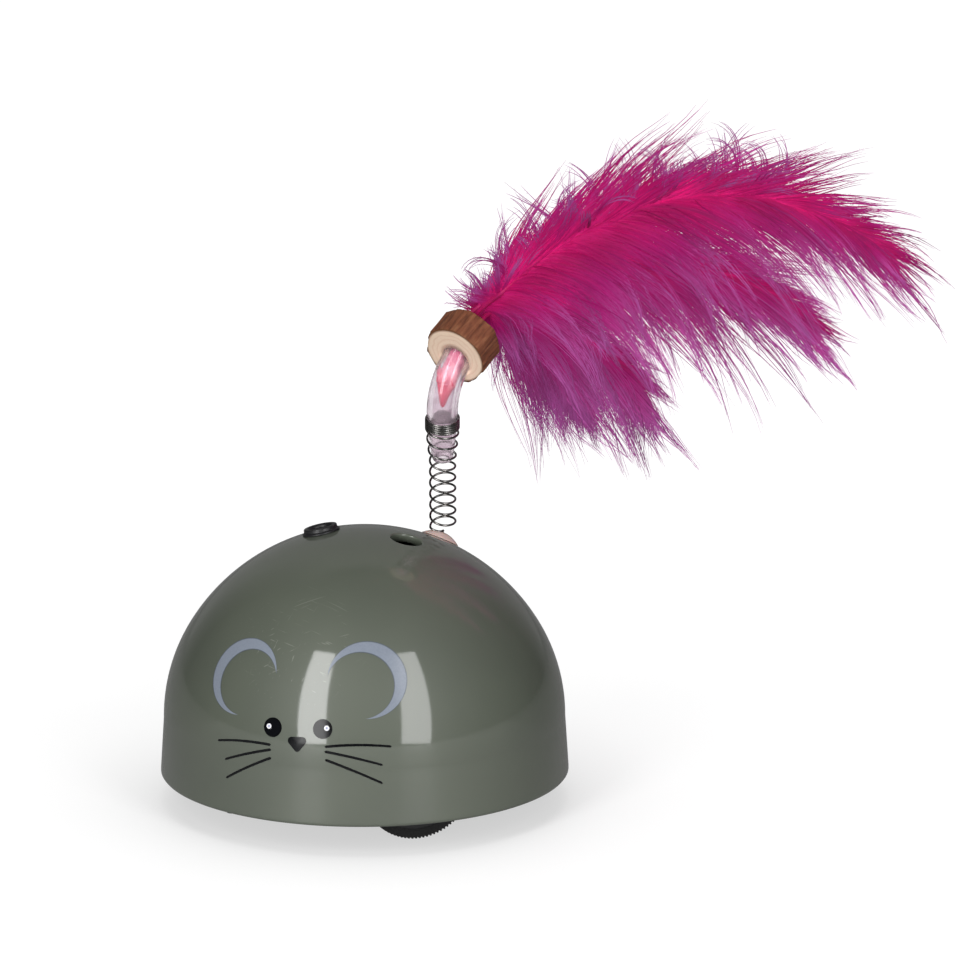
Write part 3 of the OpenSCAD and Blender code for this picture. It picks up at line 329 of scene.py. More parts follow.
@dataclass(frozen=True)
class BranchWood:
    """A sawn slice of branch: pale sapwood with faint rings and pores, and red-brown bark in long facets."""

    turn: tuple
    ring_step: float = 1.3
    cambium: tuple = (7.25, 7.75)
    sapwood: str = "#f8dec6"
    ring: str = "#e2b898"
    rim: str = "#6b4327"
    bark: str = "#7d4a31"
    ridge: str = "#9a6b4a"
    crevice: str = "#4d2a1b"

    def make(self) -> Material:
        """Draw rings 1.3 mm apart and 0.3 mm pores on the cut, and 0.8 mm fibres along the bark.

        Returns:
            The material.
        """
        material, tree, surface, place = bare_material("branch_wood")
        pith = add_node(tree, "Attribute", {}, attribute_name="pith").outputs["Fac"]
        bark = add_node(tree, "Attribute", {}, attribute_name="bark").outputs["Fac"]
        wander = add_node(tree, "TexNoise", {"Vector": place, "Scale": per_mm(3)})
        reach = add_node(tree, "Math", {0: wander, 1: 1.4, 2: pith}, operation="MULTIPLY_ADD")
        phase = add_node(tree, "Math", {0: reach, 1: 2 * math.pi / self.ring_step}, operation="MULTIPLY")
        wave = add_node(tree, "Math", {0: phase}, operation="SINE")
        growth = add_node(tree, "MapRange", {"Value": wave, "From Min": 0.2, "To Max": 0.35})
        pores = add_node(tree, "TexNoise", {"Vector": place, "Scale": per_mm(0.3), "Detail": 2.0})
        dots = add_node(tree, "MapRange", {"Value": pores, "From Min": 0.55, "From Max": 0.8, "To Max": 0.45})
        grain = add_node(tree, "Math", {0: growth, 1: dots}, operation="ADD")
        cut = add_node(tree, "Mix", {0: grain, 6: linear(self.sapwood), 7: linear(self.ring)},
                       data_type="RGBA")
        inner, outer = self.cambium
        near = add_node(tree, "MapRange", {"Value": pith, "From Min": inner, "From Max": outer})
        face = add_node(tree, "Mix", {0: near, 6: cut.outputs[2], 7: linear(self.rim)}, data_type="RGBA")
        lay = add_node(tree, "Mapping", {"Vector": place, "Rotation": self.turn, "Scale": (1, 1, 6)},
                       vector_type="TEXTURE")
        fibre = add_node(tree, "TexNoise", {"Vector": lay, "Scale": per_mm(0.8), "Detail": 3.0})
        dark = add_node(tree, "MapRange", {"Value": fibre, "From Min": 0.5, "From Max": 0.28, "To Max": 0.8})
        light = add_node(tree, "MapRange", {"Value": fibre, "From Min": 0.52, "From Max": 0.78,
                                            "To Max": 0.8})
        skin = add_node(tree, "Mix", {0: dark, 6: linear(self.bark), 7: linear(self.crevice)},
                        data_type="RGBA")
        peel = add_node(tree, "Mix", {0: light, 6: skin.outputs[2], 7: linear(self.ridge)}, data_type="RGBA")
        tint = add_node(tree, "Mix", {0: bark, 6: face.outputs[2], 7: peel.outputs[2]}, data_type="RGBA")
        rough = add_node(tree, "MapRange", {"Value": pores, "From Min": 0.3, "From Max": 0.7,
                                            "To Min": 0.55, "To Max": 0.8})
        relief = add_node(tree, "Math", {0: fibre, 1: bark}, operation="MULTIPLY")
        height = add_node(tree, "Math", {0: pores, 1: 0.3, 2: relief}, operation="MULTIPLY_ADD")
        bump = add_node(tree, "Bump", {"Height": height, "Distance": 0.22 * MM})
        join(tree, surface, {"Base Color": tint.outputs[2], "Roughness": rough, "IOR": 1.45, "Normal": bump})
        return material


@dataclass(frozen=True)
class DyedDown:
    """Dyed marabou: hot pink at the shaft, partly a painted sheen along it, magenta in the mass, purple where
    single barbs end.
    """

    # The first stop is the dye at the shaft, made brighter as a painted sheen along the shaft
    stops: tuple = ((0.0, "#d41e7e"), (0.22, "#b40c66"), (0.52, "#a41a72"), (1.0, "#b05aa2"))
    through: float = 0.25

    def make(self) -> Material:
        """Colour by the distance along a barb, vary each lock a little and in 9 mm patches, as random tone
        and painted shade of folds, and pass some of the light through.

        Returns:
            The material.
        """
        material, tree, surface, place = bare_material("dyed_marabou")
        along = add_node(tree, "Attribute", {}, attribute_name="tone").outputs["Fac"]
        tone = add_node(tree, "ValToRGB", {"Fac": along})
        ramp = tone.color_ramp.elements
        for at, _ in self.stops[1:-1]:
            ramp.new(at)
        for stop, (_, colour) in zip(ramp, self.stops):
            stop.color = linear(colour)
        own = add_node(tree, "Attribute", {}, attribute_name="shade").outputs["Fac"]
        # Painted shade of folds: 9 mm patches darken or lighten the down at random places, on top of each
        # lock's own shade
        patch = add_node(tree, "TexNoise", {"Vector": place, "Scale": per_mm(9)})
        drift = add_node(tree, "MapRange", {"Value": patch, "From Min": 0.3, "From Max": 0.7,
                                            "To Min": 0.84, "To Max": 1.1})
        vary = add_node(tree, "Math", {0: own, 1: drift}, operation="MULTIPLY")
        tint = add_node(tree, "Mix", {0: 1.0, 6: tone, 7: vary.outputs[0]}, data_type="RGBA",
                        blend_type="MULTIPLY")
        join(tree, surface, {"Base Color": tint.outputs[2], "Roughness": 0.6, "Specular IOR Level": 0.15,
                             "Sheen Weight": 0.04, "Sheen Roughness": 0.4})
        glow = add_node(tree, "BsdfTranslucent", {"Color": tint.outputs[2]})
        both = add_node(tree, "MixShader", {0: self.through, 1: surface, 2: glow})
        join(tree, tree.nodes["Material Output"], {"Surface": both})
        return material


@dataclass(frozen=True)
class DyedQuill:
    """Dyed feather shafts: deep red where the dye pooled at the cut end, then pale horn, then hot pink."""

    pooled: str = "#b40040"
    horn: str = "#d08a98"
    dyed: str = "#b00c5c"

    def make(self) -> Material:
        """Colour by the distance along the shaft, broken by 0.8 mm streaks.

        Returns:
            The material.
        """
        material, tree, surface, place = bare_material("dyed_quill")
        along = add_node(tree, "Attribute", {}, attribute_name="along").outputs["Fac"]
        streak = add_node(tree, "TexNoise", {"Vector": place, "Scale": per_mm(0.8)})
        shift = add_node(tree, "Math", {0: streak, 1: 0.45, 2: along}, operation="MULTIPLY_ADD")
        fade = add_node(tree, "MapRange", {"Value": shift, "From Min": 0.6, "From Max": 0.76})
        root = add_node(tree, "Mix", {0: fade, 6: linear(self.pooled), 7: linear(self.horn)},
                        data_type="RGBA")
        rise = add_node(tree, "MapRange", {"Value": shift, "From Min": 0.88, "From Max": 1.02})
        tint = add_node(tree, "Mix", {0: rise, 6: root.outputs[2], 7: linear(self.dyed)}, data_type="RGBA")
        bump = add_node(tree, "Bump", {"Height": streak, "Distance": 0.06 * MM})
        join(tree, surface, {"Base Color": tint.outputs[2], "Roughness": 0.6, "IOR": 1.4, "Normal": bump,
                             "Subsurface Weight": 0.1, "Subsurface Scale": MM})
        return material


@dataclass(frozen=True)
class CircuitBoard:
    """Glass-fibre board under green solder mask, with paler copper runs beneath."""

    mask: str = "#1b5a34"
    run: str = "#3d8a56"

    def make(self) -> Material:
        """Draw copper runs as the edges of 3 mm cells.

        Returns:
            The material.
        """
        material, tree, surface, place = bare_material("green_circuit_board")
        cells = add_node(tree, "TexVoronoi", {"Vector": place, "Scale": per_mm(3)},
                         feature="DISTANCE_TO_EDGE")
        run = add_node(tree, "MapRange", {"Value": cells, "From Min": 0.1, "From Max": 0.06})
        tint = add_node(tree, "Mix", {0: run, 6: linear(self.mask), 7: linear(self.run)}, data_type="RGBA")
        bump = add_node(tree, "Bump", {"Height": run, "Distance": 0.03 * MM})
        join(tree, surface, {"Base Color": tint.outputs[2], "Roughness": 0.35, "IOR": 1.5, "Normal": bump})
        return material


# Surface helpers

def unit(v: Array) -> Array:
    """Vectors scaled to length one along the last axis."""
    return v / np.linalg.norm(v, axis=-1, keepdims=True)


def polar_vector(polar: float, azimuth: float) -> Array:
    """Unit vector at an angle from +Z and a compass angle from +X towards +Y, in degrees."""
    p, a = math.radians(polar), math.radians(azimuth)
    return np.array([math.sin(p) * math.cos(a), math.sin(p) * math.sin(a), math.cos(p)])


def grid_faces(rows: int, cols: int, wrap_rows: bool = False, wrap_cols: bool = False) -> Array:
    """Four-cornered faces of a grid of points stored row by row.

    Args:
        rows: Number of rows.
        cols: Number of columns.
        wrap_rows: Whether the last row joins the first.
        wrap_cols: Whether the last column joins the first.

    Returns:
        Four point numbers for each face.
    """
    r, c = np.meshgrid(np.arange(rows - (not wrap_rows)), np.arange(cols - (not wrap_cols)), indexing="ij")
    nr, nc = (r + 1) % rows, (c + 1) % cols
    return np.stack([r * cols + c, r * cols + nc, nr * cols + nc, nr * cols + c], -1).reshape(-1, 4)


def rings(centres: Array, radii: Array, across: Array, up: Array, sides: int,
          closed: bool = False) -> Surface:
    """Rings carried along a path: centre + radius (cos a across + sin a up) for angles round each ring.

    Args:
        centres: Ring centres.
        radii: Ring radii.
        across: First direction of each ring, or of all.
        up: Second direction of each ring, or of all.
        sides: Points on a ring.
        closed: Whether the last ring joins the first; otherwise both ends are capped.

    Returns:
        Points and groups of faces.
    """
    a = np.linspace(0, 2 * np.pi, sides, endpoint=False)[None, :, None]
    spread = np.cos(a) * np.atleast_2d(across)[:, None] + np.sin(a) * np.atleast_2d(up)[:, None]
    points = centres[:, None] + np.asarray(radii)[:, None, None] * spread
    faces = [grid_faces(len(centres), sides, closed, True)]
    if not closed:
        cap = np.arange(sides)[None]
        faces += [cap[:, ::-1], cap + (len(centres) - 1) * sides]
    return points.reshape(-1, 3), faces


def sweep(path: Array, radii: Array, sides: int, reference: Array) -> Surface:
    """Round rod along a path, its rings turned so that their first direction leans towards a reference.

    Args:
        path: Points of the centre line.
        radii: Radius at each point.
        sides: Points on a ring.
        reference: Direction that no part of the path follows.

    Returns:
        Points and groups of faces.
    """
    along = unit(np.gradient(path, axis=0))
    across = unit(reference - (along @ reference)[:, None] * along)
    return rings(path, radii, across, np.cross(along, across), sides)


def lathe(origin: Array, axis: Array, profile: Array, segments: int, closed: bool = False) -> Surface:
    """Profile of radius and height turned about an axis.

    Args:
        origin: Point of height zero.
        axis: Direction of the axis.
        profile: Rows of radius and height.
        segments: Points round the axis.
        closed: Whether the profile is a loop.

    Returns:
        Points and faces, with no caps: an open profile starts and ends on the axis or under another piece.
    """
    side = unit(np.cross(axis, [0.0, 1.0, 0.001]))
    points, _ = rings(origin + profile[:, 1:] * axis, profile[:, 0], side, np.cross(axis, side), segments)
    return points, [grid_faces(len(profile), segments, closed, True)]


def rounded(corners: list[tuple[float, float, float]], steps: int = 5) -> Array:
    """Profile through corners, each rounded by a curve that leaves and meets its edges at a distance.

    Args:
        corners: Radius, height and rounding distance of each corner.
        steps: Points on each rounding.

    Returns:
        Rows of radius and height: a quadratic curve with the corner as its middle control point.
    """
    c = np.array(corners, float)
    p, d = c[:, :2], c[:, 2:]
    before = p - unit(p - np.roll(p, 1, 0) + 1e-12) * d
    after = p + unit(np.roll(p, -1, 0) - p + 1e-12) * d
    t = np.linspace(0, 1, steps)[None, :, None]
    curve = (1 - t) ** 2 * before[:, None] + 2 * t * (1 - t) * p[:, None] + t ** 2 * after[:, None]
    return curve.reshape(-1, 2)


def make_piece(name: str, surfaces: list[Surface], material: Material, weld: bool = True,
               **attributes: Array) -> Piece:
    """Make one mesh object from surfaces in millimetres.

    Args:
        name: Name of the piece.
        surfaces: Points and groups of faces of each surface.
        material: Its finish.
        weld: Whether doubled points are merged and faces turned outwards.
        **attributes: One number for each point; a piece with any isn't welded.

    Returns:
        The object, at the origin.
    """
    starts = np.cumsum([0] + [len(points) for points, _ in surfaces])
    points = np.concatenate([points for points, _ in surfaces]) * MM
    groups = [group + start for (_, faces), start in zip(surfaces, starts) for group in faces]
    corners = np.concatenate([group.reshape(-1) for group in groups])
    sizes = np.concatenate([np.full(len(group), group.shape[1]) for group in groups])
    mesh = bpy.data.meshes.new(name)
    mesh.vertices.add(len(points))
    mesh.vertices.foreach_set("co", points.astype(np.float32).reshape(-1))
    mesh.loops.add(len(corners))
    mesh.loops.foreach_set("vertex_index", corners.astype(np.int32))
    mesh.polygons.add(len(sizes))
    mesh.polygons.foreach_set("loop_start", (np.cumsum(sizes) - sizes).astype(np.int32))
    mesh.update(calc_edges=True)
    for key, value in attributes.items():
        mesh.attributes.new(key, "FLOAT", "POINT").data.foreach_set("value", value.astype(np.float32))
    if weld and not attributes:
        work = bmesh.new()
        work.from_mesh(mesh)
        bmesh.ops.remove_doubles(work, verts=work.verts, dist=1e-7)
        bmesh.ops.recalc_face_normals(work, faces=work.faces)
        work.to_mesh(mesh)
        work.free()
    mesh.materials.append(material)
    piece = bpy.data.objects.new(name, mesh)
    bpy.context.scene.collection.objects.link(piece)
    return piece


def dress(piece: Piece, body: str, slot: str, *nodes: str) -> None:
    """Let a piece ride a body and stand for CAD nodes, and report it.

    Args:
        piece: The object.
        body: Name of the CAD body.
        slot: Name of a material slot; not used.
        *nodes: CAD nodes that the piece stands for.
    """
    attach(piece, body)
    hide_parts(*nodes)
    LOG.info("%s rides %s with %d faces", piece.name, body, len(piece.data.polygons))


# Sub-assemblies

@dataclass
class Dome:
    """The moulded shell: a drafted skirt, a shoulder arc and a crown arc, turned about the axis."""

    rim_r: float = 50.0
    rim_z: float = 3.0
    equator_r: float = 49.1
    equator_z: float = 16.6
    shoulder_in: float = 6.0
    shoulder_r: float = 43.1
    crown_z: float = 13.0059
    crown_r: float = 50.0941
    tangent: float = 30.905
    wall: float = 2.0
    rim_edge: tuple = ((-0.6, 0.0), (-0.25, 0.06), (-0.05, 0.3))
    socket_at: tuple = (12.7, 0.0)
    switch_at: tuple = (12.7, 180.0)
    plug_at: tuple = (28.5, 58.0)
    socket_open: float = 4.9
    fitting_open: float = 3.9
    socket_r: float = 3.85
    lip: float = 0.45
    lip_reach: float = 5.6
    lip_lift: float = 0.004
    outer_counts: tuple = (16, 40, 62)
    inner_counts: tuple = (6, 12, 18)
    segments: int = 288

    @property
    def centre(self) -> Array:
        """Middle of the crown's ball."""
        return np.array([0, 0, self.crown_z])

    def section(self, inside: float, skirt: int, shoulder: int, crown: int) -> Array:
        """Section from the rim to the axis: a straight skirt, then two arcs that share a tangent.

        Args:
            inside: Distance of the section inside the outer skin.
            skirt: Points on the skirt.
            shoulder: Points on the shoulder arc.
            crown: Points on the crown arc.

        Returns:
            Rows of radius and height.
        """
        t = np.linspace(0, 1, skirt, endpoint=False)
        low = np.stack([self.rim_r + t * (self.equator_r - self.rim_r) - inside,
                        self.rim_z + t * (self.equator_z - self.rim_z)], -1)
        a = np.radians(np.linspace(0, self.tangent, shoulder, endpoint=False))
        mid_r = self.shoulder_r - inside
        mid = np.stack([self.shoulder_in + mid_r * np.cos(a), self.equator_z + mid_r * np.sin(a)], -1)
        b = np.radians(np.linspace(self.tangent, 90, crown))
        top_r = self.crown_r - inside
        top = np.stack([top_r * np.cos(b), self.crown_z + top_r * np.sin(b)], -1)
        top[-1, 0] = 0
        return np.concatenate([low, mid, top])

    def lift(self, points: Array, directions: Array, height: float) -> Array:
        """Slide points along directions until they lie a height above the skin.

        The distance to the skin is that to the skirt's cone, the shoulder's ring or the crown's ball,
        whichever the point's own place calls for, and each step moves the point by what is left of it.

        Args:
            points: Points near the skin.
            directions: Unit directions out of the skin.
            height: Height above the skin.

        Returns:
            The moved points.
        """
        slope = math.atan2(self.rim_r - self.equator_r, self.equator_z - self.rim_z)
        for _ in range(6):
            r, z = np.hypot(points[:, 0], points[:, 1]), points[:, 2]
            skirt = ((r - self.equator_r) + (z - self.equator_z) * math.tan(slope)) * math.cos(slope)
            ring = np.hypot(r - self.shoulder_in, z - self.equator_z) - self.shoulder_r
            ball = np.hypot(r, z - self.crown_z) - self.crown_r
            angle = np.degrees(np.arctan2(z - self.equator_z, r - self.shoulder_in))
            gap = np.where(z < self.equator_z, skirt, np.where(angle < self.tangent, ring, ball)) - height
            points = points - gap[:, None] * directions
        return points

    def build(self, finish: Material) -> None:
        """Turn the wall as a loop, open it at the three fittings, and add the spare socket's rounded lip.

        Args:
            finish: The shell's plastic.
        """
        outer = self.section(0, *self.outer_counts)
        inner = self.section(self.wall, *self.inner_counts)[::-1]
        rim = np.array([self.rim_r, self.rim_z]) + np.array(self.rim_edge)
        profile = np.concatenate([inner, rim, outer[1:]])
        points, (faces,) = lathe(np.zeros(3), UP, profile, self.segments)
        middles = points[faces].mean(1) - self.centre
        keep = np.ones(len(faces), bool)
        openings = ((self.socket_at, self.socket_open), (self.switch_at, self.fitting_open),
                    (self.plug_at, self.fitting_open))
        for at, reach in openings:
            axis = polar_vector(*at)
            off = np.linalg.norm(middles - (middles @ axis)[:, None] * axis, axis=1)
            keep &= (off > reach) | (middles @ axis < 0)
        skin = make_piece("dome_skin", [(points, [faces[keep]])], finish)
        dress(skin, "housing", "shell_plastic", "dome_shell")
        dress(self.socket_lip(finish), "housing", "shell_plastic", "dome_shell")

    def socket_lip(self, finish: Material) -> Piece:
        """Turn the skin round the spare socket, over a rounding and down through the wall, about its axis.

        Args:
            finish: The shell's plastic.

        Returns:
            The lip.
        """
        r = np.linspace(self.lip_reach, self.socket_r + self.lip, 10)
        skin = self.crown_r + self.lip_lift
        top = np.stack([r, np.sqrt(skin ** 2 - r ** 2)], -1)
        a = np.radians(np.linspace(12, 90, 7))
        over = np.stack([self.socket_r + self.lip * (1 - np.sin(a)),
                         top[-1, 1] - self.lip * (1 - np.cos(a))], -1)
        depth = self.crown_r - self.wall
        under = math.sqrt(depth ** 2 - self.lip_reach ** 2)
        down = np.array([[self.socket_r, depth - 0.1], [self.lip_reach, under]])
        turned = lathe(self.centre, polar_vector(*self.socket_at), np.concatenate([top, over, down]), 96)
        return make_piece("socket_lip", [turned], finish)


@dataclass
class FacePrint:
    """The printed mouse face: crescent ears, eyes with light spots, a nose and six whiskers."""

    dome: Dome
    roll: float = 3.0
    middle: float = 25.0
    film: float = 0.07
    spot_film: float = 0.1
    core_film: float = 0.12
    core_share: float = 0.42
    ear: tuple = (16.1, 34.0, 9.5)
    bite: tuple = (2.3, 37.0, 8.1)
    eye: tuple = (6.3, 23.2, 2.35)
    spot: tuple = (1.0, 0.2, 0.65)
    nose: tuple = (0.0, 19.5)
    nose_rounds: tuple = ((-1.3, 0.8, 1.0), (1.3, 0.8, 1.0), (0.0, -1.0, 0.8))
    nose_middle: tuple = (0.0, 0.2)
    whiskers: tuple = (((6.8, 19.4), (22.8, 18.7), 0.5), ((6.8, 18.1), (20.6, 14.2), 0.25),
                       ((6.9, 16.1), (20.4, 9.7), 0.25))
    whisker_w: float = 0.62

    def place(self, at: tuple, flat: Array, film: float) -> Array:
        """Wrap flat artwork onto the dome: stand it square to the skin, then slide it down the normal.

        Args:
            at: Distance along the dome from the middle line, and height above the rim.
            flat: Points of the artwork, to the viewer's right and up.
            film: Height of the film above the skin.

        Returns:
            Points on the dome.
        """
        roll = math.radians(self.roll)
        c, s = math.cos(roll), math.sin(roll)
        x = at[0] * c - (at[1] - self.middle) * s
        z = self.dome.rim_z + self.middle + at[0] * s + (at[1] - self.middle) * c
        d = self.dome
        rise = math.asin(max(0.0, z - d.equator_z) / d.shoulder_r)
        draft = (d.equator_r - d.rim_r) / (d.equator_z - d.rim_z)
        skin_r = d.shoulder_in + d.shoulder_r * math.cos(rise) + min(0.0, z - d.equator_z) * draft
        turn = -math.pi / 2 + x / skin_r
        out = np.array([math.cos(turn), math.sin(turn), 0.0])
        right = np.array([-math.sin(turn), math.cos(turn), 0.0])
        normal = math.cos(rise) * out + np.array([0, 0, math.sin(rise)])
        up = np.cross(normal, right)
        across, above = c * right + s * up, c * up - s * right
        origin = d.shoulder_in * out + np.array([0, 0, d.equator_z]) + d.shoulder_r * normal
        origin = origin + min(0.0, z - d.equator_z) * above
        points = origin + flat[:, :1] * across + flat[:, 1:] * above
        return d.lift(points, np.broadcast_to(normal, points.shape), film)

    def crescent(self, side: int) -> Artwork:
        """Ear: lines from the outer circle to the bite's circle, whose ends meet where the circles cross.

        Args:
            side: 1 for the viewer's right ear, -1 for the left.

        Returns:
            Flat points, faces and the share of each point towards the film's edge.
        """
        off, turn, bite_r = self.bite
        r = self.ear[2]
        reach = (r * r - bite_r * bite_r + off * off) / (2 * off)
        a_out = math.pi - math.acos(reach / r)
        a_bite = math.pi - math.acos(np.clip((reach - off) / bite_r, -1, 1))
        rows, cols = 81, 9
        u, v = np.linspace(-1, 1, rows)[:, None], np.linspace(0, 1, cols)[None]
        back = math.pi - math.radians(turn)
        hub = off * np.array([math.cos(math.radians(turn)), -math.sin(math.radians(turn))])
        outer = r * np.stack([np.cos(back + u * a_out), np.sin(back + u * a_out)], -1)
        bite = hub + bite_r * np.stack([np.cos(back + u * a_bite), np.sin(back + u * a_bite)], -1)
        flat = outer + v[..., None] * (bite - outer)
        flat[..., 0] *= -side
        edge = np.broadcast_to(np.abs(2 * v - 1), flat.shape[:2])
        return flat.reshape(-1, 2), [grid_faces(rows, cols)], edge.reshape(-1)

    @staticmethod
    def filled(outline: Array, hub: Array) -> Artwork:
        """Closed outline filled by lines to its hub: hub + share (outline - hub).

        Args:
            outline: Flat points round it.
            hub: Flat point inside it.

        Returns:
            Flat points, faces and edge shares.
        """
        rows, n = 8, len(outline)
        share = np.linspace(0.02, 1, rows)[:, None, None]
        flat = hub + share * (outline - hub)[None]
        edge = np.broadcast_to(share[..., 0], flat.shape[:2])
        return flat.reshape(-1, 2), [grid_faces(rows, n, False, True), np.arange(n)[None]], edge.reshape(-1)

    def disc(self, radius: float, hub: tuple = (0.0, 0.0)) -> Artwork:
        """Filled circle."""
        a = np.linspace(0, 2 * np.pi, 56, endpoint=False)
        return self.filled(hub + radius * np.stack([np.cos(a), np.sin(a)], -1), np.array(hub))

    def nose_outline(self) -> Array:
        """Outline round three circles: for each direction, the point of the circle that reaches furthest.

        Returns:
            Flat points.
        """
        a = np.linspace(0, 2 * np.pi, 72, endpoint=False)
        n = np.stack([np.cos(a), np.sin(a)], -1)
        hubs, radii = np.split(np.array(self.nose_rounds), [2], axis=1)
        best = np.argmax(n @ hubs.T + radii.T, axis=1)
        return hubs[best] + radii[best] * n

    def whisker(self, start: tuple, end: tuple, bow: float,
                side: int) -> tuple[tuple, Array, list[Array], Array]:
        """Whisker: a line bowed as a parabola, whose half width ends as a circle, a little thinner outwards.

        Args:
            start: Inner end.
            end: Outer end.
            bow: Height of the bow over the straight line.
            side: 1 for the viewer's right, -1 for the left.

        Returns:
            Place of its middle, flat points, faces and edge share.
        """
        p, q = np.array(start), np.array(end)
        span = np.linalg.norm(q - p)
        rows, cols = 41, 5
        u, v = np.linspace(0, 1, rows)[:, None], np.linspace(-1, 1, cols)[None]
        from_end = np.minimum(u, 1 - u) * span / (self.whisker_w / 2)
        half = self.whisker_w / 2 * np.sqrt(1 - np.clip(1 - from_end, 0, 1) ** 2) * (1.05 - 0.2 * u)
        x = (u - 0.5) * span + 0 * v
        y = bow * (4 * u * (1 - u) - 0.6) + v * half
        run = (q - p) / span
        flat = np.stack([x * run[0] - y * run[1], x * run[1] + y * run[0]], -1)
        flat[..., 0] *= side
        at = (side * (p[0] + q[0]) / 2, (p[1] + q[1]) / 2)
        return at, flat.reshape(-1, 2), [grid_faces(rows, cols)], np.zeros(rows * cols)

    def piece(self, name: str, items: list[tuple[tuple, Array, list[Array], Array, float]],
              finish: Material, slot: str, node: str) -> None:
        """Make one printed colour from its items, and turn every face out of the dome.

        Args:
            name: Name of the piece.
            items: Place, flat points, faces, edge shares and film height of each item.
            finish: The ink.
            slot: Material slot.
            node: CAD node that it stands for.
        """
        surfaces = []
        for at, flat, faces, _, film in items:
            points = self.place(at, flat, film)
            turned = []
            for group in faces:
                p, q, r = (points[group[:, k]] for k in (0, 1, 2))
                outward = np.einsum("ij,ij->i", np.cross(q - p, r - p), p - self.dome.centre) >= 0
                turned.append(np.where(outward[:, None], group, group[:, ::-1]))
            surfaces.append((points, turned))
        made = make_piece(name, surfaces, finish, edge=np.concatenate([item[3] for item in items]))
        dress(made, "housing", slot, node)

    def build(self) -> None:
        """Print the ears, the dark features and the light spots with their pale centres."""
        silver = PrintedInk("silver_lavender_ink", "#88909d", "#5a6169", 0.2, 0.3).make()
        black = PrintedInk("black_ink", "#0e0f12", "#0c0d0f").make()
        white = PrintedInk("white_ink", "#f2f2f4", "#e6e6ec").make()
        lavender = PrintedInk("lavender_ink", "#a9aed0", "#a9aed0").make()
        sides = (-1, 1)
        ears = [((s * self.ear[0], self.ear[1]), *self.crescent(s), self.film) for s in sides]
        self.piece("printed_ears", ears, silver, "ear_ink", "face_ears")
        eye_at = [(s * self.eye[0], self.eye[1]) for s in sides]
        dark = [(at, *self.disc(self.eye[2]), self.film) for at in eye_at]
        dark.append((self.nose, *self.filled(self.nose_outline(), np.array(self.nose_middle)), self.film))
        dark += [(*self.whisker(*line, s), self.film) for s in sides for line in self.whiskers]
        self.piece("printed_features", dark, black, "black_ink", "face_features")
        hubs = [(s * self.spot[0], self.spot[1]) for s in sides]
        spots = [(at, *self.disc(self.spot[2], hub), self.spot_film) for at, hub in zip(eye_at, hubs)]
        self.piece("printed_light_spots", spots, white, "white_ink", "eye_spots")
        core_r = self.spot[2] * self.core_share
        cores = [(at, *self.disc(core_r, hub), self.core_film) for at, hub in zip(eye_at, hubs)]
        self.piece("printed_spot_centres", cores, lavender, "white_ink", "eye_spots")


@dataclass
class Switch:
    """The panel switch on the crown: a flanged bezel and a dished push button in its bore."""

    dome: Dome
    bezel_r: float = 4.6
    bezel_h: float = 1.5
    neck_r: float = 3.25
    neck_h: float = 2.2
    bore_r: float = 2.7
    button_r: float = 2.6
    button_h: float = 5.0
    dish: tuple = ((0.0, -0.3), (0.6, -0.28), (1.2, -0.2), (1.7, -0.06), (1.95, 0.0), (2.2, 0.0),
                   (2.42, -0.06), (2.56, -0.2))
    recess: float = 0.8
    seat: float = -0.093

    def build(self, finish: Material) -> None:
        """Turn both about the crown's normal, every corner rounded as a mould leaves it.

        Args:
            finish: The switch's plastic.
        """
        axis = polar_vector(*self.dome.switch_at)
        origin = self.dome.centre + self.dome.crown_r * axis
        low, top = self.seat, self.seat + self.bezel_h
        ring = rounded([
            (self.bore_r, low - self.neck_h, 0.05), (self.neck_r, low - self.neck_h, 0.05),
            (self.neck_r, low, 0.03), (self.bezel_r, low, 0.06),
            (self.bezel_r, low + 0.34, 0.12), (self.bezel_r - 0.42, low + 0.6, 0.12),
            (self.bezel_r - 0.5, top - 0.05, 0.25), (self.bore_r + 0.55, top + 0.02, 0.2),
            (self.bore_r + 0.12, top - 0.35, 0.15), (self.bore_r, top - 0.7, 0.1)])
        bezel = make_piece("switch_ring", [lathe(origin, axis, ring, 96, True)], finish)
        dress(bezel, "housing", "black_plastic", "switch_bezel")
        side = ((self.button_r, -0.4), (self.button_r, -self.button_h), (0.0, -self.button_h))
        crest = origin + (top - self.recess) * axis
        button = make_piece("push_button", [lathe(crest, axis, np.array(self.dish + side), 72)], finish)
        dress(button, "button", "black_plastic", "power_button")


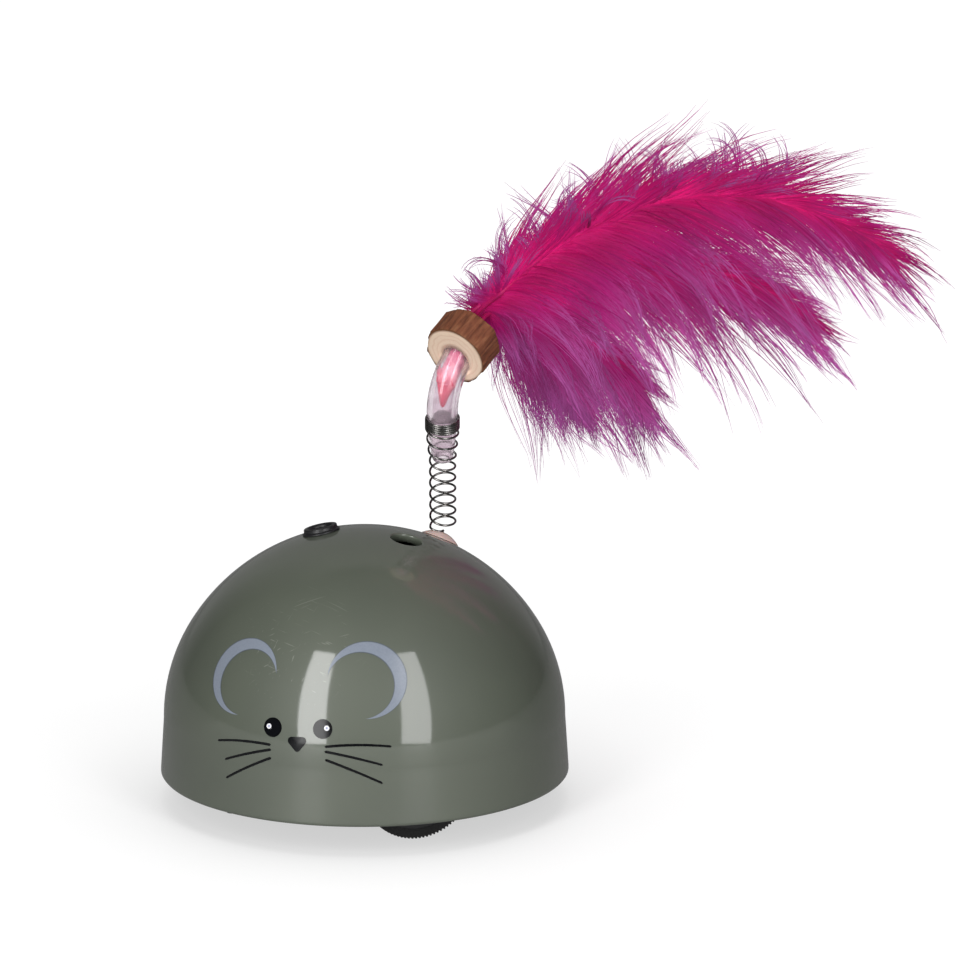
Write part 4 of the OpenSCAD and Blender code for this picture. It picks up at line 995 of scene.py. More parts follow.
@dataclass
class Teaser:
    """The feather teaser: plug, coil spring, vinyl tube, wood slice and the roots of the feathers."""

    dome: Dome
    cap_r: float = 4.8
    cap_h: float = 1.9
    cap_edge: tuple = ((4.66, 0.17), (4.74, 0.1), (4.7, 0.02), (3.2, 0.0))
    stem: tuple = ((3.2, -2.4), (4.1, -2.5), (3.2, -4.3), (0.0, -4.4))
    seat: float = -0.089
    lean: float = 20.0
    lean_azimuth: float = -71.5
    wire_r: float = 0.275
    coil_r: float = 3.1
    grip_r: float = 4.0
    heights: tuple = (0.8, 3.2, 30.825, 33.825)
    turns: tuple = (0.0, 0.75, 9.25, 14.25)
    tang: tuple = (-1.75, -1.0, -0.3, 0.3)
    lead_turns: float = 0.3
    wind_start: float = 10.0
    sway_span: tuple = (2.0, 13.8, 21.5)
    tube_start: float = 21.625
    tube_r: float = 3.8
    tube_bore: float = 2.4
    tube_wall: float = 0.6
    tube_taper: tuple = (
        (0.0, 2.1), (0.2, 2.4), (0.8, 2.62), (3.4, 2.95), (6.6, 3.3), (8.6, 3.48), (9.0, 3.5), (12.4, 3.5),
        (12.9, 3.7), (13.4, 3.8), (13.875, 3.8))
    bend_start: float = 35.5
    bend_r: float = 12.0
    bend_angle: float = 54.0
    bend_azimuth: float = 150.0
    tail: float = 5.0
    disc_r: float = 8.0
    disc_t: float = 8.0
    disc_tilt: float = 26.0
    disc_along: float = 1.2
    disc_hole_r: float = 3.9
    disc_facets: int = 7
    bundle_r: float = 2.15
    plug_axis: Array = field(init=False)
    foot: Array = field(init=False)
    axis: Array = field(init=False)
    side: Array = field(init=False)
    bend_side: Array = field(init=False)
    bend_normal: Array = field(init=False)
    end_axis: Array = field(init=False)
    end: Array = field(init=False)
    disc_axis: Array = field(init=False)

    def __post_init__(self) -> None:
        """Work out the axes: the plug's normal, the spring's lean, the plane of the bend and the disc's."""
        self.plug_axis = polar_vector(*self.dome.plug_at)
        self.foot = self.dome.centre + (self.dome.crown_r + self.seat + self.cap_h) * self.plug_axis
        self.axis = polar_vector(self.lean, self.lean_azimuth)
        self.side = polar_vector(self.lean + 90, self.lean_azimuth)
        b = math.radians(self.bend_azimuth)
        self.bend_side = math.cos(b) * self.side + math.sin(b) * np.cross(self.axis, self.side)
        self.bend_normal = np.cross(self.axis, self.bend_side)
        angles = np.array([self.bend_angle, self.bend_angle + self.disc_tilt])
        self.end_axis, self.disc_axis = self.bend_tangent(angles)
        self.end = self.bend_point(np.array([self.bend_angle]))[0] + self.tail * self.end_axis

    def bend_point(self, angle: Array) -> Array:
        """Centre line of the bend: an arc that leaves the spring's axis towards the bend's side.

        Args:
            angle: Angles round the bend in degrees.

        Returns:
            Points.
        """
        a = np.radians(angle)[:, None]
        turn = np.sin(a) * self.axis + (1 - np.cos(a)) * self.bend_side
        return self.foot + self.bend_start * self.axis + self.bend_r * turn

    def bend_tangent(self, angle: Array) -> Array:
        """Direction of the bend at an angle."""
        a = np.radians(angle)[:, None]
        return np.cos(a) * self.axis + np.sin(a) * self.bend_side

    def plug(self, finish: Material) -> None:
        """Turn a soft cap with a rolled edge, a stem and a barb under the shell.

        Args:
            finish: The plug's vinyl.
        """
        rise = np.linspace(0.0, 4.5, 18)
        ball = (self.cap_r ** 2 + self.cap_h ** 2) / (2 * self.cap_h)
        top = np.stack([rise, self.seat + self.cap_h - ball + np.sqrt(ball ** 2 - rise ** 2)], -1)
        edge = np.array(self.cap_edge) + np.array([0.0, self.seat])
        profile = np.concatenate([top, edge, np.array(self.stem)])
        origin = self.dome.centre + self.dome.crown_r * self.plug_axis
        cap = make_piece("soft_plug", [lathe(origin, self.plug_axis, profile, 72)], finish)
        dress(cap, "housing", "plug_plastic", "spring_plug")

    def coil(self, turn: Array) -> Array:
        """Left-handed coil: height and radius run with the turns, and the lead winds out from the axis.

        Args:
            turn: Turns from the foot.

        Returns:
            Points of the wire's centre line.
        """
        s = np.interp(turn, self.turns, self.heights)
        r = np.interp(s, [0, self.tube_start - 0.5, self.heights[2]], [self.coil_r, self.coil_r, self.grip_r])
        r = r * np.minimum(1, (turn + 0.05) / self.lead_turns)
        a = math.radians(self.wind_start) - 2 * np.pi * turn
        across = np.cos(a)[:, None] * self.side + np.sin(a)[:, None] * np.cross(self.axis, self.side)
        return self.foot + s[:, None] * self.axis + r[:, None] * across

    def spring(self, finish: Material) -> None:
        """Sweep the wire in two lengths, split at the middle of the sway's span, that meet there.

        Args:
            finish: The spring's steel.
        """
        first, half, last = self.sway_span
        middle = float(np.interp(half, self.heights, self.turns))
        tang = self.foot + np.array(self.tang)[:, None] * self.plug_axis
        lower = np.concatenate([tang, self.coil(np.linspace(0, middle, 190))])
        upper = self.coil(np.linspace(middle, self.turns[-1], 500))
        spans = (("spring_lower_turns", lower, "housing", "spring", first, half),
                 ("spring_upper_turns", upper, "spring", "wand", half, last))
        for name, path, below, above, start, end in spans:
            wire = make_piece(name, [sweep(path, np.full(len(path), self.wire_r), 10, self.axis)], finish)
            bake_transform(wire)
            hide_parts("feather_spring")
            LOG.info("%s bends between %s and %s", name, below, above)

    def tube(self, finish: Material) -> None:
        """Carry an outer and an inner wall along the spring's axis, the bend and the tail, and join both.

        Clear vinyl hardly shades the quills that it holds, so it casts no shadow.

        Args:
            finish: The clear vinyl.
        """
        s, outer = np.array(self.tube_taper).T
        fine = np.linspace(0, self.bend_start - self.tube_start, 70, endpoint=False)
        b = np.linspace(0, self.bend_angle, 40)
        t = np.linspace(0.3, self.tail, 10)[:, None]
        path = np.concatenate([self.foot + (self.tube_start + fine)[:, None] * self.axis, self.bend_point(b),
                               self.bend_point(b[-1:]) + t * self.end_axis])
        along = unit(np.gradient(path, axis=0))
        n = len(path)
        r_out = np.concatenate([np.interp(fine, s, outer), np.full(n - len(fine), self.tube_r)])
        r_in = np.minimum(r_out - self.tube_wall, self.tube_bore)
        loop = np.r_[np.arange(n), np.arange(n)[::-1]]
        across = np.broadcast_to(self.bend_normal, (n, 3))
        up = np.cross(along, across)
        wall = rings(path[loop], np.concatenate([r_out, r_in[::-1]]), across[loop], up[loop], 48, True)
        piece = make_piece("vinyl_tube", [wall], finish)
        piece.visible_shadow = False
        dress(piece, "wand", "clear_vinyl", "spring_tube")

    def wood_slice(self) -> None:
        """Loft one loop of rows round the branch: hole, lower cut, bark, upper cut and back down the hole.

        The branch wanders as a round with a few sine waves, and the bark adds flat facets and ridges. The
        hole is the tube's round seen along the tilted tube: an ellipse that shifts from one cut to the other.
        """
        axis = self.disc_axis
        centre = self.end + self.disc_along * self.end_axis
        lean, turn = math.acos(axis[2]), math.atan2(axis[1], axis[0])
        x = np.array([math.cos(lean) * math.cos(turn), math.cos(lean) * math.sin(turn), -math.sin(lean)])
        y = np.cross(axis, x)
        cols = 240
        a = np.linspace(0, 2 * np.pi, cols, endpoint=False)
        wedge = np.pi / self.disc_facets
        polygon = np.cos(wedge) / np.cos(np.mod(a + 0.2, 2 * wedge) - wedge)
        wander = 0.03 * np.sin(2 * a + math.radians(40)) + 0.02 * np.sin(3 * a)
        branch = self.disc_r * (0.5 + 0.53 * polygon + wander)
        slope = self.end_axis - (self.end_axis @ axis) * axis
        tilt = math.tan(math.radians(self.disc_tilt))
        toward = np.array([slope @ x, slope @ y]) / np.linalg.norm(slope)
        stretch = 1 / math.cos(math.radians(self.disc_tilt))
        rim = np.stack([np.cos(a), np.sin(a)], -1)
        hole = self.disc_hole_r * (rim + ((rim @ toward) * (stretch - 1))[:, None] * toward)
        half = self.disc_t / 2
        facet = 0.4 * np.abs(np.sin(4.5 * a + 0.6)) - 0.25 + 0.05 * np.sin(23 * a + 1) + 0.04 * np.sin(41 * a)
        # Rows in order: lower cut from the hole outwards, bark upwards, upper cut inwards, down the hole
        side = np.linspace(-0.95, 0.95, 14)
        cut = np.array([0, 0.25, 0.5, 0.75, 0.97, 0.992])
        share = np.concatenate([cut, [0.995], np.ones(len(side)), [0.995], cut[::-1], np.zeros(3)])
        rise = np.concatenate([np.full(5, -1), [-0.988, -0.98], side, [0.98, 0.988], np.full(5, 1),
                               [0.5, 0, -0.5]])
        height = half * rise
        bark = np.concatenate([np.zeros(6), np.ones(16), np.zeros(9)])
        worn = 1 + 0.25 * np.sin(3 * height[:, None] / half + 2 * a[None])
        mid = hole[None] + (height * tilt)[:, None, None] * toward
        edge = rim[None] * (branch[None] + bark[:, None] * facet[None] * worn)[..., None]
        flat = mid + share[:, None, None] * (edge - mid)
        points = centre + flat[..., :1] * x + flat[..., 1:] * y + height[:, None, None] * axis
        euler = Vector(axis).to_track_quat("Z", "Y").to_euler()
        faces = grid_faces(len(share), cols, True, True)[:, ::-1]
        disc = make_piece("branch_slice", [(points.reshape(-1, 3), [faces])],
                          BranchWood(tuple(euler)).make(), bark=np.repeat(bark, cols),
                          pith=np.hypot(flat[..., 0], flat[..., 1]).reshape(-1))
        dress(disc, "wand", "wood", "wood_disc")

    def roots(self, finish: Material) -> None:
        """Sweep the bundle of feather roots in the bore: it swells from a point, lobed like four quills.

        Args:
            finish: The dyed quill.
        """
        sides = 28
        b = np.linspace(6, self.bend_angle, 50)
        t = np.linspace(0.25, self.tail + 5, 22)[:, None]
        path = np.concatenate([self.bend_point(b), self.bend_point(b[-1:]) + t * self.end_axis])
        share = np.linspace(0, 1, len(path))
        radii = self.bundle_r * np.minimum(1, share / 0.4) ** 0.6 * (1 - 0.1 * np.sin(9 * share))
        points, faces = sweep(path, radii, sides, self.bend_normal)
        a = np.linspace(0, 2 * np.pi, sides, endpoint=False)
        lobe = 1 + 0.07 * np.cos(4 * a[None] + 5 * share[:, None])
        lobe = lobe + 0.03 * np.cos(9 * a[None] - 8 * share[:, None])
        grown = path[:, None] + (points.reshape(len(path), sides, 3) - path[:, None]) * lobe[..., None]
        bundle = make_piece("feather_roots", [(grown.reshape(-1, 3), faces)], finish,
                            along=np.repeat(share, sides))
        dress(bundle, "wand", "feather")

    def build(self, plug: Material, steel: Material, quill: Material) -> None:
        """Build every piece between the shell and the feathers.

        Args:
            plug: The plug's vinyl.
            steel: The spring's steel.
            quill: The dyed quill.
        """
        self.plug(plug)
        self.spring(steel)
        self.tube(ClearVinyl().make())
        self.wood_slice()
        self.roots(quill)


@dataclass(frozen=True)
class Vane:
    """One marabou feather: the curve and the plane of its shaft, and how far its barbs reach on each side.

    Attributes:
        node: CAD node that it stands for.
        length: Length of the shaft in mm.
        quill: Place of its root round the bore, in degrees.
        root: Heading above the viewer's right where it leaves the tube, in degrees.
        tip: Heading at its tip.
        power: How late the heading turns along the shaft.
        drift: Shift of the whole feather away from the viewer, in mm.
        above: Reach of the upper barbs in mm.
        below: Reach of the lower barbs in mm.
        swing: Turn of the feather's plane away from the viewer, in degrees.
        fall: How far below the shaft's heading the upper barbs end, in degrees.
        clad: Share of the shaft that carries barbs.
        barbs: Count of barbs in locks.
        edge: Count of short loose barbs on the upper side.
        curls: Count of long loose curls.
        seed: Seed of its chance.
    """

    node: str
    length: float
    quill: float
    root: float
    tip: float
    power: float
    drift: float
    above: float
    below: float
    swing: float
    fall: float
    clad: float
    barbs: int
    edge: int
    curls: int
    seed: int


class Loose(Enum):
    """Loose barbs: span of the shaft, angle off it, its spread, curl, least and most length in mm, tone."""

    EDGE = (0.03, 0.6, 46, 20, 45, 2.5, 7.0, 0.2)
    CURL = (0.06, 0.6, 58, 20, 95, 8.0, 15.0, 0.15)
    ROOT = (0.01, 0.07, 92, 30, 40, 4.0, 12.0, 0.1)


@dataclass
class Plume:
    """Four dyed marabou feathers: shafts with locks of soft hanging barbs, fine barbules and stray curls."""

    teaser: Teaser
    azimuth: float = VIEW_AZIMUTH
    bare: float = 3.0
    reach: float = 8.5
    drift_run: float = 10.0
    root_run: float = 2.4
    quill_r: float = 0.6
    quill_tip_r: float = 0.12
    quill_start: float = 4.0
    quill_points: int = 91
    spread: float = 1.05
    fan: float = 1.5
    crowd: float = 1.25
    below_share: float = 0.6
    slants: tuple = (16.0, 24.0)
    slant_spread: tuple = (6.0, 10.0)
    slant_limits: tuple = (-10.0, 44.0)
    hang: tuple = (-80.0, 42.0)
    turn_spread: tuple = (8.0, 4.0, 5.0)
    swing_spread: tuple = (11.0, 15.0)
    wave: tuple = (0.8, 0.3)
    shortest: float = 0.3
    lock_run: float = 4.0
    lock_pull: tuple = (0.93, 0.7)
    barb_width: tuple = (0.22, 0.42)
    fuzz_lift: float = 0.9
    fuzz_lean: tuple = (0.9, 2.0)
    fuzz_reach: tuple = (1.0, 3.0)
    fuzz_half: float = 0.05
    barb_roll: float = 0.2
    tone_gain: float = 1.1
    tone_swing: float = 250.0
    loose_share: float = 0.16
    loose_shade: tuple = (0.72, 0.92)
    tuft_spread: float = 0.08
    root_barbs: int = 40
    tuft: int = 5
    steps: int = 12
    fuzz: int = 16
    vanes: tuple = (
        Vane(node="feather_long", length=135, quill=255, root=48, tip=-66, power=1.3, drift=-9, above=37,
             below=50, swing=4, fall=-6, clad=0.84, barbs=3900, edge=500, curls=180, seed=3),
        Vane(node="feather_middle", length=114, quill=345, root=31, tip=-55, power=1.0, drift=-2.5, above=33,
             below=48, swing=20, fall=2, clad=0.84, barbs=4300, edge=120, curls=20, seed=5),
        Vane(node="feather_low", length=84, quill=165, root=-8, tip=-56, power=0.8, drift=4, above=29,
             below=40, swing=40, fall=14, clad=0.66, barbs=3500, edge=60, curls=0, seed=7),
        Vane(node="feather_short", length=79, quill=75, root=-28, tip=-50, power=0.8, drift=10, above=27,
             below=34, swing=56, fall=14, clad=0.72, barbs=3200, edge=60, curls=0, seed=9))

    def level(self, swing: float, turn: float = 0.0) -> Array:
        """Level direction to the viewer's right, swung away by an angle and turned by another, in degrees."""
        return polar_vector(90.0, self.azimuth + swing + turn)

    def heading(self, vane: Vane, angle: Array, out: Array | float = 0.0) -> Array:
        """Directions at an angle above the right in a vane's plane, swung out of it by a second.

        Args:
            vane: The feather.
            angle: Angles above the viewer's right in degrees.
            out: Angles out of the plane in degrees.

        Returns:
            Unit directions.
        """
        a = np.radians(angle)[..., None]
        o = np.broadcast_to(np.radians(out), np.shape(angle))[..., None]
        flat = np.cos(a) * self.level(vane.swing) + np.sin(a) * UP
        return np.cos(o) * flat + np.sin(o) * self.level(vane.swing, 90)

    def offset(self, vane: Vane) -> Array:
        """Place of a quill across the bore where the tube ends.

        Args:
            vane: The feather.

        Returns:
            Shift from the bore's middle.
        """
        q = math.radians(vane.quill)
        normal = self.teaser.bend_normal
        return self.spread * (math.cos(q) * normal + math.sin(q) * np.cross(normal, self.teaser.end_axis))

    def shaft(self, vane: Vane, count: int = 161) -> tuple[Array, Array, Array]:
        """Shaft: directions that leave the tube's axis and turn from root heading to tip heading, added up.

        Args:
            vane: The feather.
            count: Points along it.

        Returns:
            Distance along the shaft, points, and the heading in degrees at each.
        """
        t = (np.arange(count - 1) + 0.5) / (count - 1)
        turn = vane.root + (vane.tip - vane.root) * t ** vane.power
        ease = np.exp(-t * vane.length / self.root_run)[:, None]
        step = unit((1 - ease) * self.heading(vane, turn) + ease * self.teaser.end_axis)
        root = self.teaser.end + self.reach * self.teaser.end_axis + self.fan * self.offset(vane)
        s = np.linspace(0, vane.length, count)
        points = root + np.concatenate([[np.zeros(3)], np.cumsum(step, 0)]) * vane.length / (count - 1)
        points = points + (vane.drift * np.minimum(1, s / self.drift_run))[:, None] * self.level(0, 90)
        return s, points, vane.root + (vane.tip - vane.root) * (s / vane.length) ** vane.power

    def share(self, vane: Vane, s: Array) -> Array:
        """Share of the full reach along the shaft: a fast swell, a broad middle and a pointed tip."""
        t = np.clip((s - self.bare) / (vane.length - self.bare), 0.0, 1.0)
        return np.sin(np.pi * t ** 0.6) ** 0.55 * (1 - 0.25 * t) + 0.14

    @staticmethod
    def walk(path: Array, share: Array) -> tuple[Array, Array]:
        """Points at shares of the way along each path, and the direction of the path there.

        Args:
            path: Points of every path.
            share: Shares of the way, a row for each path.

        Returns:
            Points and unit directions.
        """
        last = path.shape[1] - 1
        low = np.minimum((share * last).astype(int), last - 1)
        rows = np.arange(len(path))[:, None]
        near, far = path[rows, low], path[rows, low + 1]
        return near + (share * last - low)[..., None] * (far - near), unit(far - near)

    def barb_paths(self, vane: Vane, rng: np.random.Generator) -> tuple[Array, Array, Array, Array]:
        """Barbs: each leaves the shaft at a small slant, runs along it, then droops, and draws into a lock.

        A barb's heading turns from its start to its end heading, soonest at the root, and its points are
        those directions added up. Barbs of one lock share a length, and lean to one swing and end heading,
        and they draw towards the lock's mean path. Each then stops at its own share of that length, so that
        a lock thins to a point, with gaps between.

        Args:
            vane: The feather.
            rng: Seeded source of chance.

        Returns:
            Points of every barb, its share of the lock's length, how far on its tone starts, and a shade.
        """
        n, m = vane.barbs, self.steps
        run, points, bearings = self.shaft(vane)
        s = self.bare + (vane.clad * vane.length - self.bare) * rng.uniform(0, 1, n) ** self.crowd
        side = np.where(rng.uniform(0, 1, n) < self.below_share, -1, 1)
        along = s / vane.length
        # Three locks on each side of every run of the shaft
        lock = np.floor(s / self.lock_run).astype(int) * 6 + (side > 0) * 3 + rng.integers(0, 3, n)
        locks = lock.max() + 1
        common = rng.normal(0, 1, (locks, 5))[lock]
        own = rng.normal(0, 1, (n, 4))
        base = np.stack([np.interp(s, run, points[:, k]) for k in range(3)], -1)
        bearing = np.interp(s, run, bearings)
        # Each spread is that of a lock, then that of a single barb
        of_lock, of_barb = self.slant_spread
        slant = np.where(side < 0, *self.slants) + of_lock * common[:, 3] + of_barb * own[:, 0]
        begin = bearing + side * np.clip(slant, *self.slant_limits)
        of_lock, of_lower, of_upper = self.turn_spread
        turn = of_lock * common[:, 0]
        hang = np.minimum(self.hang[0] + self.hang[1] * along + turn + of_lower * own[:, 1], bearing - 4)
        onward = bearing - vane.fall + turn + of_upper * own[:, 1]
        end = np.where(side < 0, hang, onward)
        of_lock, of_barb = self.swing_spread
        swing = of_lock * common[:, 1] + of_barb * own[:, 2]
        full = np.where(side < 0, vane.below * (1.12 - 0.45 * along), vane.above * (1.05 - 0.35 * along))
        length = np.maximum(full * self.share(vane, s) * (1 + 0.2 * common[:, 2]), 3)
        grown = self.shortest + (1 - self.shortest) * rng.uniform(0, 1, n) ** 1.3
        t = np.linspace(0, 1, m)[None]
        angle = begin[:, None] + (end - begin)[:, None] * t ** 0.7
        step = self.heading(vane, angle, swing[:, None])
        step = (step[:, 1:] + step[:, :-1]) / 2 * (length / (m - 1))[:, None, None]
        path = base[:, None] + np.concatenate([np.zeros((n, 1, 3)), np.cumsum(step, 1)], 1)
        total = np.zeros((locks, m, 3))
        np.add.at(total, lock, path)
        mean = (total / np.maximum(np.bincount(lock, minlength=locks), 1)[:, None, None])[lock]
        pull = np.where(side < 0, *self.lock_pull)[:, None, None] * np.clip((t - 0.2) / 0.65, 0, 1)[..., None]
        path = path + pull * (mean - path)
        of_lock, of_barb = self.wave
        wave = (np.sin(t * 8 + 6 * own[:, :1]) * of_barb + np.sin(t * 7 + 6 * common[:, 2:3]) * of_lock) * t
        path = path + wave[..., None] * self.heading(vane, angle + 90, 60 * own[:, 3:])
        path, _ = self.walk(path, grown[:, None] * t)
        later = 0.1 * along - 0.2 * (side > 0)
        # Shade: each lock's and barb's random tone, which also paints the shade of folds between locks
        shade = 1 + 0.1 * common[:, 4] + 0.08 * own[:, 2]
        return path, grown, later, shade

    def loose(self, vane: Vane, rng: np.random.Generator, kind: Loose, count: int) -> Array:
        """Loose barbs off the upper side of the shaft, whose heading turns by a curl that grows as a square.

        Args:
            vane: The feather.
            rng: Seeded source of chance.
            kind: Which loose barbs.
            count: How many; those of one tuft share a start and almost a course.

        Returns:
            Points of every barb.
        """
        first, last, off, spread, curl, short, long, _ = kind.value
        run, points, bearings = self.shaft(vane)
        tufts = -(-count // self.tuft)
        draw = np.repeat(rng.uniform(0, 1, (tufts, 2)), self.tuft, 0)[:count]
        turns = np.repeat(rng.normal(0, 1, (tufts, 3)), self.tuft, 0)[:count]
        turns = turns + self.tuft_spread * rng.normal(0, 1, (count, 3))
        s = vane.length * (first + (last - first) * draw[:, 0]) + rng.normal(0, 0.5, count)
        base = np.stack([np.interp(s, run, points[:, k]) for k in range(3)], -1)
        start = np.interp(s, run, bearings) + off + spread * turns[:, 0]
        t = np.linspace(0, 1, self.steps)[None]
        angle = start[:, None] + curl * np.clip(turns[:, 1:2], -0.9, 1.2) * t ** 2
        length = (short + (long - short) * draw[:, 1]) * rng.uniform(0.75, 1.1, count)
        length = length + self.loose_share * vane.above * self.share(vane, s) * (kind is not Loose.ROOT)
        step = self.heading(vane, angle, 20 * turns[:, 2:]) * (length / self.steps)[:, None, None]
        return base[:, None] + np.cumsum(step, 1)

    def ribbons(self, vane: Vane, path: Array, width: Array, rng: np.random.Generator) -> Surface:
        """Ribbon along each path: two edges to the sides of it, narrowing to the tip, rolled by chance.

        Args:
            vane: The feather.
            path: Points of every barb.
            width: Width of each barb at its root.
            rng: Seeded source of chance.

        Returns:
            Points and faces.
        """
        n, m = path.shape[:2]
        along = unit(np.gradient(path, axis=1))
        level = unit(np.cross(along, self.level(vane.swing, 90)))
        roll = rng.normal(0, self.barb_roll, (n, 1, 1))
        side = np.cos(roll) * level + np.sin(roll) * np.cross(along, level)
        taper = (1 - np.linspace(0, 1, m)) ** 0.7 * 0.85 + 0.15
        half = side * (width[:, None] * taper / 2)[..., None]
        points = np.stack([path - half, path + half], 2).reshape(-1, 3)
        faces = grid_faces(m, 2)[None] + (np.arange(n) * 2 * m)[:, None, None]
        return points, [faces.reshape(-1, 4)]

    def barbules(self, vane: Vane, path: Array, rng: np.random.Generator) -> tuple[Surface, Array, Array]:
        """Barbules: fine three-cornered slivers that slant off each barb all round, longest near its root.

        Args:
            vane: The feather.
            path: Points of every barb.
            rng: Seeded source of chance.

        Returns:
            Surface, the place of each point along its barb and the number of its barb.
        """
        n = len(path)
        u = np.clip(rng.beta(1.2, 1.7, (n, self.fuzz)), 0, 0.97)
        at, along = self.walk(path, u)
        away = self.level(vane.swing, 90)
        across = unit(np.cross(along, away)) * rng.choice([-1.0, 1.0], (n, self.fuzz, 1))
        lift = rng.normal(0, self.fuzz_lift, (n, self.fuzz, 1))
        tip = unit(along * rng.uniform(*self.fuzz_lean, (n, self.fuzz, 1)) + across + lift * away)
        reach = (rng.uniform(*self.fuzz_reach, (n, self.fuzz)) * (1 - 0.75 * u))[..., None]
        half = self.fuzz_half * along
        points = np.stack([at - half, at + half, at + reach * tip], 2).reshape(-1, 3)
        place = np.repeat(np.clip(u + 0.08, 0, 1).reshape(-1), 3)
        owner = np.repeat(np.arange(n), self.fuzz * 3)
        return (points, [np.arange(len(points)).reshape(-1, 3)]), place, owner

    def feather(self, vane: Vane, finish: Material) -> None:
        """Make one feather: barbs and barbules with a tone along the barb and a shade for each lock.

        Real down lets most light through, so that it hardly shades itself: the piece casts no shadow.

        Args:
            vane: The feather.
            finish: The dyed down.
        """
        rng = np.random.default_rng(vane.seed)
        paths, grown, later, shade = self.barb_paths(vane, rng)
        counts = {Loose.EDGE: vane.edge, Loose.CURL: vane.curls, Loose.ROOT: self.root_barbs}
        extra = [self.loose(vane, rng, kind, count) for kind, count in counts.items()]
        path = np.concatenate([paths, *extra])
        kinds = [np.full(count, kind.value[-1]) for kind, count in counts.items()]
        late = np.concatenate([later + vane.swing / self.tone_swing, *kinds])
        width = rng.uniform(*self.barb_width, len(path))
        count = len(path) - len(paths)
        shade = np.concatenate([shade, rng.uniform(*self.loose_shade, count)])
        grown = np.concatenate([grown, np.ones(count)])
        ribbon = self.ribbons(vane, path, width, rng)
        fuzz, place, owner = self.barbules(vane, path, rng)
        t = np.repeat(np.linspace(0, 1, self.steps), 2)
        on_ribbon = (late[:, None] + grown[:, None] * t).reshape(-1)
        on_fuzz = late[owner] + grown[owner] * place
        tone = self.tone_gain * np.concatenate([on_ribbon, on_fuzz])
        shades = np.concatenate([np.repeat(shade, 2 * self.steps), shade[owner]])
        piece = make_piece(vane.node + "_down", [ribbon, fuzz], finish, tone=np.clip(tone, 0, 1),
                           shade=shades)
        piece.visible_shadow = False
        dress(piece, "wand", "feather", vane.node)

    def quills(self, finish: Material) -> None:
        """Sweep the four bare shafts from the tube to past half of each feather, thinning as they go.

        Args:
            finish: The dyed quill.
        """
        sides = 8
        surfaces, along = [], []
        for vane in self.vanes:
            _, points, _ = self.shaft(vane)
            inside = self.teaser.end + self.quill_start * self.teaser.end_axis + self.offset(vane)
            path = np.concatenate([[inside], points[:self.quill_points]])
            radii = np.linspace(self.quill_r, self.quill_tip_r, len(path))
            surfaces.append(sweep(path, radii, sides, self.level(0, 90)))
            along.append(np.repeat(np.linspace(0.9, 1.1, len(path)), sides))
        piece = make_piece("feather_shafts", surfaces, finish, along=np.concatenate(along))
        dress(piece, "wand", "feather")

    def build(self, quill: Material) -> None:
        """Build the shafts and the four feathers.

        Args:
            quill: The dyed quill.
        """
        down = DyedDown().make()
        self.quills(quill)
        for vane in self.vanes:
            self.feather(vane, down)


@dataclass
class RunningGear:
    """The CAD nodes that stay: base, battery parts, board, gear trains, motors and wheels."""

    nodes: dict

    def build(self, satin: Material, steel: Material) -> None:
        """Give each node the finish of what it is made of.

        Args:
            satin: The satin black plastic.
            steel: The drawn steel.
        """
        acetal = MouldedPlastic("natural_acetal", "#e6e1d4", "#cfc8b6", Grain.SATIN, 0.08).make()
        rubber = MouldedPlastic("tyre_rubber", "#101011", "#191918", Grain.RUBBER).make()
        wrap = MouldedPlastic("plain_cell_wrap", "#50545a", "#5d6167", Grain.WRAP).make()
        nickel = WorkedMetal("nickel_plate", "#c9c6bd", "#a39f94", 0.16, 0.3).make()
        can = WorkedMetal("drawn_motor_can", "#b8babc", "#8f9194", 0.24, 0.42).make()
        brass = WorkedMetal("turned_brass", "#c9a24b", "#94733a", 0.18, 0.34).make()
        finishes = {
            "base_plate": satin, "battery_door": satin, "board_parts": satin, "switch_nut": satin,
            "base_screws": steel, "battery_door_screw": steel, "board_screws": steel, "battery_cells": wrap,
            "battery_contacts": nickel, "control_board": CircuitBoard().make()}
        each = {"gear_frame": acetal, "frame_screws": steel, "motor": can, "motor_screws": steel,
                "rotor_shaft": steel, "pinion": brass, "first_gear": acetal, "second_gear": acetal,
                "gear_pins": steel, "axle": steel, "wheel_gear": acetal, "wheel_hub": satin, "tyre": rubber}
        finishes |= {f"{side}_{name}": made for side in ("left", "right") for name, made in each.items()}
        for name, made in finishes.items():
            mesh = self.nodes[name].data
            mesh.materials.clear()
            mesh.materials.append(made)
            LOG.info("%s keeps its CAD solid in %s", name, made.name)


